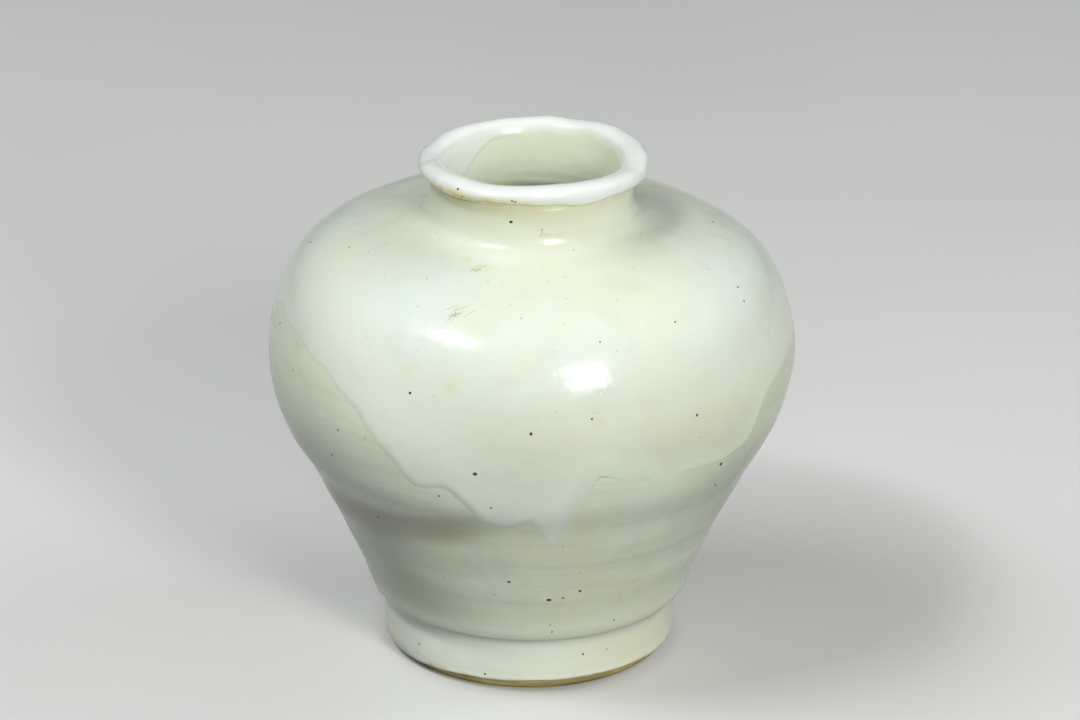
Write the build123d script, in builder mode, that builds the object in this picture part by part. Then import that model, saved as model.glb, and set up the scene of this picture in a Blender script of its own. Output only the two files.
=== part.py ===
from build123d import *

import os
from math import atan2, cos, radians, sin

# A wheel-thrown porcelain jar: luted clay sections under a liner and two coats of glaze.
# Millimetres, +Z up. The jar's axis is Z and its tread stands on Z = 0.
# Sections are drawn with the radius along X and the height along Y, then turned about Z.

# Foot
tread_diameter = 77.0  # outer edge of the bare tread
tread_width = 7.0
collar_flare = 2.9  # from the tread's outer edge out to the collar
collar_edge_height = 5.0  # where the collar starts to curl in to the tread
collar_height = 16.0  # tread to the luted joint in the groove
collar_shoulder = 1.6  # height of the curl from the collar into the groove
groove_depth = 1.0
roll_slope = 35.0  # degrees above level, where the wall's rolled edge leaves the groove
recess_depth = 6.0  # hollow under the foot
ledge_width = 2.5  # the foot ring's seat for the floor disc
floor_thickness = 7.5
floor_flat_diameter = 34.0  # level part of the floor inside

# Body: each station is a diameter and its rise above the station below it
root_overhang = 3.8  # rolled lower end of the wall, out past the collar
root_rise = 3.2
flank_diameter = 105.4
flank_rise = 18.8
swell_diameter = 123.0
swell_rise = 18.0
waist_diameter = 131.2  # slightly hollow ring below the belly
waist_rise = 8.0
haunch_diameter = 142.2
haunch_rise = 10.0
belly_diameter = 148.4
belly_rise = 18.0
shoulder_diameter = 141.6
shoulder_rise = 16.0
brow_diameter = 128.6
brow_rise = 9.7
crown_diameter = 95.6
crown_rise = 8.4
ledge_diameter = 71.6  # almost level ring round the neck
ledge_rise = 1.9
neck_root_diameter = 58.8  # middle of the hollow curve from the ledge to the neck
neck_root_rise = 2.2
neck_diameter = 54.8  # narrowest part of the neck
neck_rise = 6.3
seat_diameter = 56.0  # top of the neck, where the lip sits
seat_rise = 6.8
root_lean = 17.0  # degrees outwards from upright
crown_slope = 15.0  # degrees above level
seat_lean = 14.0  # degrees outwards from upright

# Inside
wall = 5.6
root_wall = 10.7  # the thick root of the wall, just above the floor
inside_root_rise = 10.0  # above the floor
throat_diameter = 47.0  # clear bore, inside the glaze
throat_turn = 0.4  # how slowly the ceiling turns up into the throat; 1 is a full sweep
mouth_flare = 0.9  # from the throat out to the lip's seat

# Lip
lip_height = 3.5
lip_crest = 4.2  # from the throat's clay to the crest
lip_overhang = 2.6  # past the top of the neck
lip_edge_height = 2.5  # widest line of the lip, above its seat
lip_under_slope = 0.9  # fall of the underside towards the neck

# Luting slip between the clay sections
slip = 0.8
tongue_height = 3.0  # lap of the lower wall inside the upper wall
neck_joint_diameter = 76.0  # the neck is luted into the shoulder here

# Glaze
liner_coat = 0.5
thin_coat = 0.5
pour_coat = 0.7
lip_coat = 1.5  # gathers on the lip
lip_coat_slope = 0.25  # fall of its underside, which fills the hollow below the lip
bare_band = 2.6  # height of the bare clay above the tread

# Lower edge of the poured coat: its rise above the widest line as a share of the longest drip, by degrees
# from the front (-Y) towards +X. Each run starts and ends level, at the top or the tip of a drip.
drip_length = 36.0
drip_runs = [
    [(90, 0.22), (115, 0), (135, -0.33), (155, -0.22), (175, -0.58)],
    [(175, -0.58), (195, -0.39), (215, -0.11), (240, -0.22), (262, 0.11), (280, 0.36)],
    [(280, 0.36), (296, 0.28), (310, 0.11), (323, -0.25), (335, -0.47), (346, -0.58), (353, -0.78),
     (359, -0.69), (365, -1)],
    [(365, -1), (372, -0.61), (377, -0.44), (384, -0.42), (391, -0.64), (397, -0.44), (410, -0.5),
     (420, -0.28), (430, 0.11), (450, 0.22)],
]

# Heights and radii that follow
joint_z = collar_height
root_z = joint_z + root_rise
flank_z = root_z + flank_rise
swell_z = flank_z + swell_rise
waist_z = swell_z + waist_rise
haunch_z = waist_z + haunch_rise
belly_z = haunch_z + belly_rise
shoulder_z = belly_z + shoulder_rise
brow_z = shoulder_z + brow_rise
crown_z = brow_z + crown_rise
ledge_z = crown_z + ledge_rise
neck_root_z = ledge_z + neck_root_rise
neck_z = neck_root_z + neck_rise
seat_z = neck_z + seat_rise
floor_z = recess_depth + floor_thickness
tread_radius = tread_diameter / 2
collar_radius = tread_radius + collar_flare
root_radius = collar_radius + root_overhang
groove_radius = collar_radius - groove_depth
recess_radius = tread_radius - tread_width
floor_radius = recess_radius + ledge_width
throat_radius = throat_diameter / 2 + liner_coat
mouth_radius = throat_radius + mouth_flare
seat_radius = seat_diameter / 2
neck_joint_radius = neck_joint_diameter / 2
tongue_radius = belly_diameter / 2 - wall / 2
far = belly_diameter  # beyond every section
past_axis = -belly_diameter / 4  # sections run over the axis before they are trimmed at it

root_direction = (sin(radians(root_lean)), cos(radians(root_lean)))
roll_direction = (cos(radians(roll_slope)), sin(radians(roll_slope)))
crown_direction = (-cos(radians(crown_slope)), sin(radians(crown_slope)))
seat_direction = (sin(radians(seat_lean)), cos(radians(seat_lean)))
mouth_lean = 2 * atan2(mouth_flare, seat_rise)  # of the arc that opens the throat
mouth_direction = (sin(mouth_lean), cos(mouth_lean))
body_points = [
    (root_radius, root_z),
    (flank_diameter / 2, flank_z),
    (swell_diameter / 2, swell_z),
    (waist_diameter / 2, waist_z),
    (haunch_diameter / 2, haunch_z),
    (belly_diameter / 2, belly_z),
    (shoulder_diameter / 2, shoulder_z),
    (brow_diameter / 2, brow_z),
    (crown_diameter / 2, crown_z),
]
neck_points = [
    (ledge_diameter / 2, ledge_z),
    (neck_root_diameter / 2, neck_root_z),
    (neck_diameter / 2, neck_z),
]


def outwards(line, point, distance):
    """The point moved square to the line, away from the inside of the jar."""
    along = line % line.param_at_point(point)
    return (point[0] + along.Y * distance, point[1] - along.X * distance)


def around(degrees, radius, height):
    """A point by its bearing from the front (-Y) towards +X."""
    return (radius * sin(radians(degrees)), -radius * cos(radians(degrees)), height)


def drip_curve(run, radius):
    """One run of the poured coat's lower edge, on a cylinder of that radius."""
    points = [around(turn, radius, belly_z + share * drip_length) for turn, share in run]
    ends = [(cos(radians(turn)), sin(radians(turn)), 0) for turn, share in (run[0], run[-1])]
    return Spline(*points, tangents=ends)


def draw_outside(coat):
    """Outline of the jar below its lip, a coat out from the clay and filled in past the axis."""
    tread = (tread_radius + coat, 0)
    collar_foot = (collar_radius + coat, collar_edge_height)
    collar_top = (collar_radius + coat, joint_z - collar_shoulder)
    groove = (groove_radius + coat, joint_z + slip / 2)
    body = [outwards(body_line, point, coat) for point in body_points]
    neck = [outwards(neck_line, point, coat) for point in neck_points]
    seat = (seat_radius + coat, seat_z)
    TangentArc(collar_foot, tread, tangent=(0, -1))
    Line(collar_foot, collar_top)
    TangentArc(collar_top, groove, tangent=(0, 1))
    Spline(groove, body[0], tangents=[roll_direction, root_direction])
    Spline(*body, tangents=[root_direction, crown_direction])
    Spline(body[-1], *neck, seat, tangents=[crown_direction, seat_direction])
    Polyline(seat, (past_axis, seat_z), (past_axis, 0), tread)


def draw_inside(coat):
    """Outline of the hollow, a coat in from the clay, filled in past the axis and up past the lip."""
    floor_edge = (floor_flat_diameter / 2, floor_z + coat)
    inside_root = (root_radius - root_wall - coat, floor_z + inside_root_rise)
    wall_points = [outwards(body_line, point, -wall - coat) for point in body_points[1:]]
    neck_foot = outwards(neck_line, neck_points[0], -wall - coat)
    throat_foot = (throat_radius - coat, neck_root_z)
    inside_points = [floor_edge, inside_root, *wall_points, neck_foot, throat_foot]
    throat_top = (throat_radius - coat, neck_z)
    mouth = (mouth_radius - coat, seat_z)
    Spline(*inside_points, tangents=[(1, 0), (0, 1)], tangent_scalars=[1, throat_turn])
    Line(throat_foot, throat_top)
    TangentArc(throat_top, mouth, tangent=(0, 1))
    Polyline(mouth, (past_axis, seat_z), (past_axis, floor_z + coat), floor_edge)


def draw_lip(inner_coat, coat, outer_coat, under_slope):
    """Outline of the lip on its seat: the coats of the throat and the neck meet it, its own covers it."""
    throat_edge = (mouth_radius - inner_coat, seat_z)
    neck_edge = (seat_radius + outer_coat, seat_z)
    Spline(
        throat_edge,
        (throat_radius + lip_crest, seat_z + lip_height + coat),
        (seat_radius + lip_overhang + coat, seat_z + lip_edge_height),
        neck_edge,
        tangents=[mouth_direction, (-1, -under_slope)],
    )
    Line(neck_edge, throat_edge)


def draw_below_lap(edge_z, step_radius, step_z):
    """Everything below a lapped joint, which steps up from edge_z to step_z inside step_radius."""
    Polygon(
        (past_axis, 0), (far, 0), (far, edge_z), (step_radius, edge_z),
        (step_radius, step_z), (past_axis, step_z), align=None,
    )


def trim(low_radius, high_radius, low_z, high_z):
    """Keeps what lies between two radii and two heights of the sketch."""
    with Locations((low_radius, low_z)):
        Rectangle(high_radius - low_radius, high_z - low_z, align=Align.MIN, mode=Mode.INTERSECT)


# Outer lines of the clay, which the coats and the inside follow
body_line = Spline(*body_points, tangents=[root_direction, crown_direction])
neck_line = Spline(
    body_points[-1], *neck_points, (seat_radius, seat_z), tangents=[crown_direction, seat_direction]
)

with BuildSketch() as clay_form:
    with BuildLine():
        draw_outside(0)
    make_face()

with BuildSketch() as glazed_form:
    with BuildLine():
        draw_outside(thin_coat)
    make_face()

with BuildSketch() as poured_form:
    with BuildLine():
        draw_outside(thin_coat + pour_coat)
    make_face()

with BuildSketch() as hollow:
    with BuildLine():
        draw_inside(0)
    make_face()

with BuildSketch() as lined_hollow:
    with BuildLine():
        draw_inside(liner_coat)
    make_face()

with BuildSketch() as clay_wall:
    add(clay_form.sketch)
    add(hollow.sketch, mode=Mode.SUBTRACT)

with BuildSketch() as lip_form:
    with BuildLine():
        draw_lip(0, 0, 0, lip_under_slope)
    make_face()

with BuildSketch() as below_belly_slip:
    draw_below_lap(belly_z, tongue_radius, belly_z + tongue_height)

with BuildSketch() as below_upper_wall:
    draw_below_lap(belly_z + slip, tongue_radius + slip, belly_z + tongue_height + slip)

# Foot ring: the collar, its bare tread and the ledge that the floor sits on
with BuildPart() as foot_ring:
    with BuildSketch(Plane.XZ):
        add(clay_wall.sketch)
        Rectangle(2 * recess_radius, 2 * recess_depth, mode=Mode.SUBTRACT)
        with Locations((0, recess_depth)):
            Rectangle(2 * floor_radius, far, align=(Align.CENTER, Align.MIN), mode=Mode.SUBTRACT)
        trim(0, far, 0, joint_z)
    revolve(axis=Axis.Z)

# Floor disc, dished where the inside curves up
with BuildPart() as base_floor:
    with BuildSketch(Plane.XZ):
        add(clay_wall.sketch)
        trim(0, floor_radius, recess_depth, joint_z)
    revolve(axis=Axis.Z)

# Slip between the foot and the wall
with BuildPart() as foot_slip:
    with BuildSketch(Plane.XZ):
        add(clay_wall.sketch)
        trim(0, far, joint_z, joint_z + slip)
    revolve(axis=Axis.Z)

# Lower wall, with a tongue inside its upper edge
with BuildPart() as lower_wall:
    with BuildSketch(Plane.XZ):
        add(clay_wall.sketch)
        add(below_belly_slip.sketch, mode=Mode.INTERSECT)
        trim(0, far, joint_z + slip, seat_z)
    revolve(axis=Axis.Z)

# Slip in the lapped joint round the belly
with BuildPart() as belly_slip:
    with BuildSketch(Plane.XZ):
        add(clay_wall.sketch)
        add(below_upper_wall.sketch, mode=Mode.INTERSECT)
        add(below_belly_slip.sketch, mode=Mode.SUBTRACT)
        trim(neck_joint_radius, far, belly_z, seat_z)
    revolve(axis=Axis.Z)

# Upper wall: the shoulder, open for the neck
with BuildPart() as upper_wall:
    with BuildSketch(Plane.XZ):
        add(clay_wall.sketch)
        add(below_upper_wall.sketch, mode=Mode.SUBTRACT)
        trim(neck_joint_radius + slip, far, belly_z, seat_z)
    revolve(axis=Axis.Z)

# Slip round the neck's joint in the shoulder
with BuildPart() as neck_slip:
    with BuildSketch(Plane.XZ):
        add(clay_wall.sketch)
        trim(neck_joint_radius, neck_joint_radius + slip, belly_z + belly_rise, seat_z)
    revolve(axis=Axis.Z)

# Neck, from the shoulder to the lip's seat
with BuildPart() as neck_collar:
    with BuildSketch(Plane.XZ):
        add(clay_wall.sketch)
        trim(0, neck_joint_radius, belly_z, seat_z - slip)
    revolve(axis=Axis.Z)

# Slip under the lip
with BuildPart() as lip_slip:
    with BuildSketch(Plane.XZ):
        add(clay_wall.sketch)
        trim(0, far, seat_z - slip, seat_z)
    revolve(axis=Axis.Z)

# Lip, rolled out over the neck
with BuildPart() as lip_coil:
    with BuildSketch(Plane.XZ):
        add(lip_form.sketch)
    revolve(axis=Axis.Z)

# Glaze over the lip
with BuildPart() as lip_glaze:
    with BuildSketch(Plane.XZ):
        with BuildLine():
            draw_lip(liner_coat, lip_coat, thin_coat, lip_coat_slope)
        make_face()
        add(lip_form.sketch, mode=Mode.SUBTRACT)
    revolve(axis=Axis.Z)

# Glaze over the floor, the walls inside and the throat
with BuildPart() as liner_glaze:
    with BuildSketch(Plane.XZ):
        add(hollow.sketch)
        add(lined_hollow.sketch, mode=Mode.SUBTRACT)
        trim(0, far, floor_z, seat_z)
    revolve(axis=Axis.Z)

# First thin coat, from the bare band up to the lip
with BuildPart() as body_glaze:
    with BuildSketch(Plane.XZ):
        add(glazed_form.sketch)
        add(clay_form.sketch, mode=Mode.SUBTRACT)
        trim(0, far, bare_band, seat_z)
    revolve(axis=Axis.Z)

# The poured coat ends below in drips, so it is cut by a wavy ring of level radial lines
drip_faces = [
    Face.make_surface_from_curves(
        drip_curve(run, flank_diameter / 2), drip_curve(run, belly_diameter / 2 + wall)
    )
    for run in drip_runs
]
drip_edge = Shell(drip_faces)

# Second coat, poured over the shoulder and the belly
with BuildPart() as pour_glaze:
    with BuildSketch(Plane.XZ):
        add(poured_form.sketch)
        add(glazed_form.sketch, mode=Mode.SUBTRACT)
        trim(0, far, flank_z, seat_z)
    revolve(axis=Axis.Z)
    split(bisect_by=drip_edge, keep=Keep.BOTTOM)

pieces = {
    "foot_ring": foot_ring,
    "base_floor": base_floor,
    "foot_slip": foot_slip,
    "lower_wall": lower_wall,
    "belly_slip": belly_slip,
    "upper_wall": upper_wall,
    "neck_slip": neck_slip,
    "neck_collar": neck_collar,
    "lip_slip": lip_slip,
    "lip_coil": lip_coil,
    "lip_glaze": lip_glaze,
    "liner_glaze": liner_glaze,
    "body_glaze": body_glaze,
    "pour_glaze": pour_glaze,
}
os.makedirs("parts", exist_ok=True)
for name, piece in pieces.items():
    piece.part.label = name
    export_step(piece.part, f"parts/{name}.step")
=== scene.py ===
import math
import random
from functools import partial, reduce

import bpy
import numpy as np
from bpy.props import FloatProperty, FloatVectorProperty, IntProperty, PointerProperty
from mathutils import Matrix, Vector, noise
from mathutils.bvhtree import BVHTree


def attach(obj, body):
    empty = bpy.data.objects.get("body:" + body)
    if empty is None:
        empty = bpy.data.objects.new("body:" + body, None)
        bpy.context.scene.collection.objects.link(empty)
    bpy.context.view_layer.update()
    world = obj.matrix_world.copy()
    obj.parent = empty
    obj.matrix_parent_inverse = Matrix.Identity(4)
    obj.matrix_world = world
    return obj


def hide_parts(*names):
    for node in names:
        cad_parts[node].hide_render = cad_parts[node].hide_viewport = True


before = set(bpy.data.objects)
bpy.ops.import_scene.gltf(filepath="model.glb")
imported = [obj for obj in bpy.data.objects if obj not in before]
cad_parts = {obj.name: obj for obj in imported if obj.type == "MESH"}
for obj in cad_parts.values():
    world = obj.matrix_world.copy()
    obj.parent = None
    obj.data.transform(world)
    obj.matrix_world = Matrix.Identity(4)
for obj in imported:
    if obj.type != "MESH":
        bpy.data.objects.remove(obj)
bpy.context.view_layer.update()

bl_info = {
    "name": "Porcelain jar",
    "version": (1, 0, 0),
    "blender": (4, 5, 0),
    "location": "View3D > Sidebar > Jar",
    "description": "Builds the glaze coats, iron specks and stage of a small porcelain jar round its clay",
    "category": "Object",
}

MM = 0.001
COLUMNS = 400  # facets round the axis, the same for the outer coats and the lip so that they line up
# Bearings are in degrees from the front (-Y) towards +X
BEARINGS = np.arange(COLUMNS) * 360.0 / COLUMNS
FINE = 0.1  # step of a soft average, in millimetres or degrees

# Outer line of the clay as (radius, height) in millimetres
TREAD = (38.5, 0.0)
COLLAR_FOOT = (41.4, 5.0)
COLLAR_TOP = (41.4, 14.4)
GROOVE = (40.4, 16.4)
BODY = [(45.2, 19.2), (52.7, 38.0), (61.5, 56.0), (65.6, 64.0), (71.1, 74.0), (74.2, 92.0), (70.8, 108.0),
        (64.3, 117.7), (47.8, 126.1)]
NECK = [(47.8, 126.1), (35.8, 128.0), (29.4, 130.2), (27.4, 136.5), (28.0, 143.3)]
# Its directions in degrees: out of the groove and at the crown from level, at the other two from upright
ROLL_SLOPE = 35.0
ROOT_LEAN = 17.0
CROWN_SLOPE = 15.0
NECK_LEAN = 14.0

# Glazed lip from the neck over the crest into the mouth: radius, height, then the share of the lip's own
# waves and of its lower edge's waves that moves this station
LIP = [(28.3, 140.6, 0, 0), (28.7, 142.4, 0, 0.1), (29.3, 143.5, 0, 0.5), (30.6, 144.0, 0.05, 1),
       (31.7, 144.7, 0.2, 0.85), (32.3, 145.9, 0.55, 0.45), (31.8, 147.3, 0.9, 0.1), (30.4, 148.1, 1, 0),
       (28.2, 148.4, 1, 0), (26.6, 148.0, 1, 0), (25.55, 147.1, 0.97, 0)]
# Throat below the lip, then the hollow to the middle of the floor
THROAT = [(25.85, 147.0), (25.2, 145.6), (24.75, 144.0), (24.35, 142.0), (23.95, 139.5), (23.65, 137.0),
          (23.5, 134.0), (23.5, 130.6), (24.6, 128.2)]
HOLLOW = [(24.6, 128.2), (28.0, 125.6), (36.0, 121.7), (48.0, 119.8), (56.0, 116.5), (62.8, 110.0),
          (67.0, 100.0), (68.1, 90.0), (65.0, 75.5), (59.6, 66.0), (55.7, 58.0), (47.0, 40.0), (34.0, 23.6),
          (26.0, 17.0), (18.0, 14.1), (6.0, 14.0), (0.05, 14.0)]

# Glaze pooled in hollow bends: reach along the line, then lowest and highest place, in millimetres
COLLAR_POOL = (3.2, 10, 21)
NECK_POOL = (2.6, 126, 138)
POOL_FADE = (2, 3)  # how softly a pool ends below and above
POOL_BITE = 0.12  # the most that it takes off a swelling bend

# Lower edge of the poured coat: where the picture shows it, in pixels, and round the back as bearing and
# height in millimetres
DRIPS_SEEN = [(283, 302), (287, 322), (298, 335), (305, 347), (313, 360), (325, 369), (332, 380),
              (338, 391), (349, 402), (358, 413), (363, 424), (369, 434), (380, 447), (392, 460),
              (401, 474), (411, 484), (422, 488), (445, 487), (457, 497), (468, 507), (476, 516),
              (485, 523), (498, 527), (512, 528), (522, 524), (532, 522), (536, 530), (539, 538),
              (543, 543), (549, 546), (558, 544), (567, 537), (574, 522), (583, 503), (590, 487),
              (600, 473), (612, 476), (625, 480), (640, 474), (648, 477), (657, 482), (665, 487),
              (673, 480), (682, 470), (695, 468), (715, 462), (732, 453), (742, 445), (752, 433),
              (759, 412), (765, 393), (775, 377), (788, 352)]
DRIPS_BEHIND = [(96, 99), (115, 92), (124, 86), (135, 80), (146, 85), (155, 84), (166, 75), (175, 71),
                (184, 77), (195, 78), (205, 85), (215, 88), (226, 83), (240, 84), (252, 92), (262, 98),
                (276, 105)]
DRIP_SOFT = 0.6  # degrees over which the edge's corners are softened
DRIP_MEAN = 9.0  # degrees over which the drips are evened out for the coat's thickness
# The edge by bearing: how far it takes to step up, its step and its bead, in millimetres
EDGE_FADE = [(-180, 1.4), (-80, 1.7), (-45, 1.7), (-30, 1.3), (-5, 1.3), (8, 1.8), (30, 2.6), (60, 1.6),
             (110, 1.4)]
EDGE_STEP = [(-180, 0.14), (-100, 0.1), (-80, 0.07), (-45, 0.08), (-28, 0.14), (-8, 0.15), (4, 0.14),
             (10, 0.01), (58, 0.01), (70, 0.2), (110, 0.2)]
EDGE_BEAD = [(-180, 0.03), (-80, 0.01), (-45, 0.01), (-25, 0.05), (-5, 0.06), (5, 0.08), (12, 0.0),
             (58, 0.0), (80, 0.08), (110, 0.05)]
# Rows of the poured coat close to its edge, in millimetres above it
EDGE_ROWS = [-0.9, -0.45, -0.15, 0, 0.15, 0.35, 0.6, 0.9, 1.25, 1.65, 2.1, 2.6, 3.2, 3.9, 4.7, 5.6, 6.6,
             7.8, 9.1, 10.5, 12.0]
EDGE_TUCK = 0.9  # how far the coat goes on below its edge, under the first coat's skin
POUR_RISE = (-4, 36)  # from where to where above the edge the coat grows to its full thickness
POUR_GAP = 0.4  # between its upper end and the lip's seat
POUR_SINK = 0.35  # how far its back lies inside the first coat
POUR_ROWS = 131
POUR_BACK_ROWS = 30

# Tints of the poured coat by bearing: share of the thin glaze at its edge, its reach in millimetres, cream
# on the belly, painted shade on the front of the shoulder, milk above the drips, dirt under the lip
THIN_SHARE = [(-180, 0.5), (-60, 0.4), (-30, 0.6), (-5, 0.6), (12, 1.0), (56, 1.0), (68, 0.5), (84, 0.35),
              (110, 0.5)]
THIN_REACH = [(-180, 2.2), (-60, 1.6), (-30, 3.0), (-5, 3.5), (12, 9), (56, 7), (70, 2.5), (110, 2.2)]
BELLY_CREAM = [(-180, 0.5), (-40, 0.2), (-12, 1.2), (60, 1.3), (110, 1.2)]
SHOULDER_SHADE = [(-180, 0.3), (-40, 0.1), (0, 1.0), (40, 0.5)]
MILK_RUN = [(-180, 0.4), (-90, 0.4), (-50, 0.6), (-20, 1.0), (12, 1.0), (24, 0.2), (70, 0.3), (110, 0.4)]
LIP_DIRT = [(-180, 0.2), (-110, 0.5), (-60, 0.9), (-20, 0.7), (20, 0.5), (60, 0.2)]

# Rise of the uneven lip, of its lower edge, and its spread outwards, by bearing, in millimetres
LIP_WAVE = [(-176, 0.0), (-155, -0.2), (-137, -0.1), (-124, -0.6), (-110, -1.0), (-98, -1.2), (-84, -0.8),
            (-67, 0.0), (-44, 0.4), (-26, 0.2), (-5, 0.75), (13, 1.1), (34, 0.7), (53, 0.0), (74, -0.8),
            (90, -0.2), (102, 0.2), (116, 0.6), (128, 1.0), (138, 1.2), (148, 0.5), (156, 0.0), (164, 0.25),
            (171, 0.65)]
LIP_HEM = [(-110, -0.3), (-74, 0.5), (-62, 0.0), (-50, -0.45), (-38, -0.45), (-25, 0.6), (-8, 0.7),
           (3, 0.5), (15, 0.45), (26, -0.7), (34, -0.6), (46, 0.0), (62, -0.5), (90, -0.6), (130, 0.2),
           (180, 0.0)]
LIP_SPREAD = [(-90, 0.0), (0, 0.0), (45, 0.3), (70, 0.8), (110, 0.9), (135, 0.3), (180, 0.0)]
LIP_ROWS = 80
LIP_SINK = 0.4  # how far the back of the lip's glaze lies inside it
# Run of thick glaze down the left of the mouth: where it ends, as a height, and how much thinner the glaze
# is below it, by bearing, in millimetres
MOUTH_EDGE = [(-175, 144.8), (-160, 144.6), (-151, 144.3), (-140, 141.3), (-125, 137.0), (-115, 134.5),
              (-95, 133.5)]
MOUTH_RUN = [(-172, 0), (-156, 0.2), (-118, 0.2), (-104, 0)]
MOUTH_COVER = (0.36, 0.1)  # thickness of the glaze at the top of the throat, and its loss downwards
MOUTH_RADIUS = 26.2  # what lies within it is throat
MOUTH_END = 131.5  # height at which the lip's glaze ends in the throat
MOUTH_SINK = 0.25  # how far its back lies behind the throat's line
MOUTH_ROWS = 60
# White of the lip in the mouth by bearing: height of its end and softness in millimetres, then its strength
MOUTH_WHITE = [(-165, 145.9), (-151, 144.8), (-140, 141.0), (-125, 136.0), (-95, 132.0), (-60, 138.0),
               (0, 144.5), (60, 146.4), (95, 147.2), (131, 146.5), (146, 147.0), (171, 145.8)]
WHITE_FADE = [(-180, 1.3), (-158, 0.8), (-118, 0.8), (-90, 2.0), (60, 1.3)]
WHITE_SHARE = [(-180, 0.9), (-158, 0.6), (-100, 0.6), (-70, 0.8), (0, 0.9)]
# Yellow on the lip's face and cream in the throat, by bearing
LIP_YELLOW = [(-100, 0.1), (-84, 0.8), (-42, 0.95), (-30, 0.6), (-14, 0.6), (-4, 0.2), (10, 0.0)]
THROAT_CREAM = [(-150, 0.7), (-120, 0.2), (-60, 0.4), (60, 1), (150, 1)]

# Dents and swellings: bearing, height and depth outwards in millimetres, reach in degrees and millimetres
DENTS = [(-36, 57.5, -0.6, 30, 5.0), (-38, 68.0, 0.75, 28, 5.5), (90, 63, 0.35, 55, 6.0),
         (16, 68, 0.6, 34, 6.0), (180, 63, 0.2, 60, 6.0), (88, 93, 0.7, 26, 8.0), (110, 123, -0.4, 40, 6.0),
         (-90, 9, 0.3, 60, 6.0), (85, 9, -0.38, 50, 6.0)]
POUR_DENTS = [(110, 124, -0.45, 40, 7.0)]
# Lower edge of the first coat above the tread: its usual height, then its height by bearing, in millimetres
HEM_START = 2.2
HEM = [(-180, 2.4), (-90, 1.8), (-62, 1.6), (-42, 2.2), (-24, 2.9), (0, 3.2), (22, 3.3), (38, 3.1),
       (56, 2.7), (90, 2.2)]
HEM_REACH = 4.0  # the most that the hem strays from its usual height
HEM_ROWS = [0, 0.12, 0.3, 0.6, 1.0, 1.5]  # rows of the first coat close above it
HEM_FADE = (0.5, 4.0)  # from where to where above it the wall stops following it
# Rows of the first coat: the wall's, from their start above the edge to the shoulder's height, then the
# shoulder's, and those of its back from the top down, between the heights where they turn closer
WALL_START = 2.1
WALL_ROWS = 136
SHOULDER = 112
SHOULDER_ROWS = 40
BACK_TURNS = (118, 24)
BACK_ROWS = (26, 12, 20)
BACK_GAP = 0.02  # between the back and the clay
RELIEF_START = (17, 24)  # heights over which the ridges begin
# Liner: where it starts and where its throat ends along its line, its rows and its back's, in millimetres
LINER_RIM = 2.3
LINER_THROAT = 30
LINER_ROWS = (50, 90)
LINER_BACK_ROWS = 40
LINER_COLUMNS = 240
LINER_COAT = 0.4
LINER_RIDGE = 0.1
LINER_POLE = 0.05  # radius at which it ends in the middle of the floor
# Throwing ridges: height on the wall in millimetres and how far the ridge stands out, from -1 to 1
RIDGES = [(0, 0), (19, 0), (24, 0.2), (30, -0.1), (36.5, 0.6), (41.6, -0.7), (47, 0.1), (53, 0.7),
          (61, 0.1), (70, 0), (150, 0)]
RIDGE_TURN = 0.6  # where round the wall the ridges start to tilt, in radians
# Noise of the wall: scale, detail, then what its lowest and its highest value give
RIDGE_PATCHES = (1.1, 1.0, -0.3, 2.3)
RIDGE_PATCH_RISE = 0.05  # how fast the patches change with height, for each millimetre
WALL_WOBBLE = (38.0, 1.0, -1.0, 1.0)
HEM_WAVES = (4.5, 3.0, -1.5, 1.5)

# Iron specks by their place in the 1080 x 720 picture, with the radius of the spot in millimetres
SPECKS = [(488, 282, 0.26), (504, 283, 0.22), (473, 261, 0.18), (468, 261, 0.15), (511, 222, 0.54),
          (410, 393, 0.48), (531, 434, 0.68), (475, 474, 0.74), (439, 496, 0.40), (491, 508, 0.46),
          (338, 430, 0.50), (332, 455, 0.48), (592, 419, 0.46), (697, 415, 0.63), (721, 464, 0.68),
          (715, 485, 0.60), (509, 582, 0.63), (549, 600, 0.74), (580, 591, 0.63), (563, 598, 0.46),
          (614, 620, 0.40), (648, 618, 0.40), (419, 644, 0.46), (583, 654, 0.46), (607, 649, 0.34),
          (485, 674, 0.40), (552, 632, 0.40), (550, 625, 0.34), (444, 578, 0.34), (349, 247, 0.40),
          (293, 370, 0.40), (738, 287, 0.46), (744, 301, 0.40), (600, 342, 0.34), (675, 322, 0.40),
          (378, 517, 0.57), (699, 534, 0.34), (713, 222, 0.51), (280, 323, 0.46), (617, 527, 0.22),
          (690, 540, 0.24), (364, 527, 0.28), (433, 570, 0.22), (613, 577, 0.2), (660, 567, 0.24),
          (463, 627, 0.22), (417, 652, 0.24), (600, 630, 0.2), (700, 437, 0.28), (693, 443, 0.22),
          (714, 440, 0.2), (560, 430, 0.16), (627, 420, 0.2), (325, 420, 0.22), (594, 413, 0.22)]
# Rusty pits on the lip
RUST = [(458, 189, 0.45), (462, 197, 0.5), (512, 201, 0.45), (515, 202, 0.4)]
GRAIN_SHARE = 0.8  # radius of a grain over the radius of its spot
GRAIN_FLATNESS = 0.16
GRAIN_SINK = 0.02  # how far a grain's middle lies below the glaze, in millimetres
# Specks round the back: number, bearings in degrees, heights and radii in millimetres
BACK_SPECKS = 70
BACK_BEARINGS = (78, 282)
BACK_HEIGHTS = (6, 122)
BACK_RADII = (0.16, 0.42)
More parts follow.
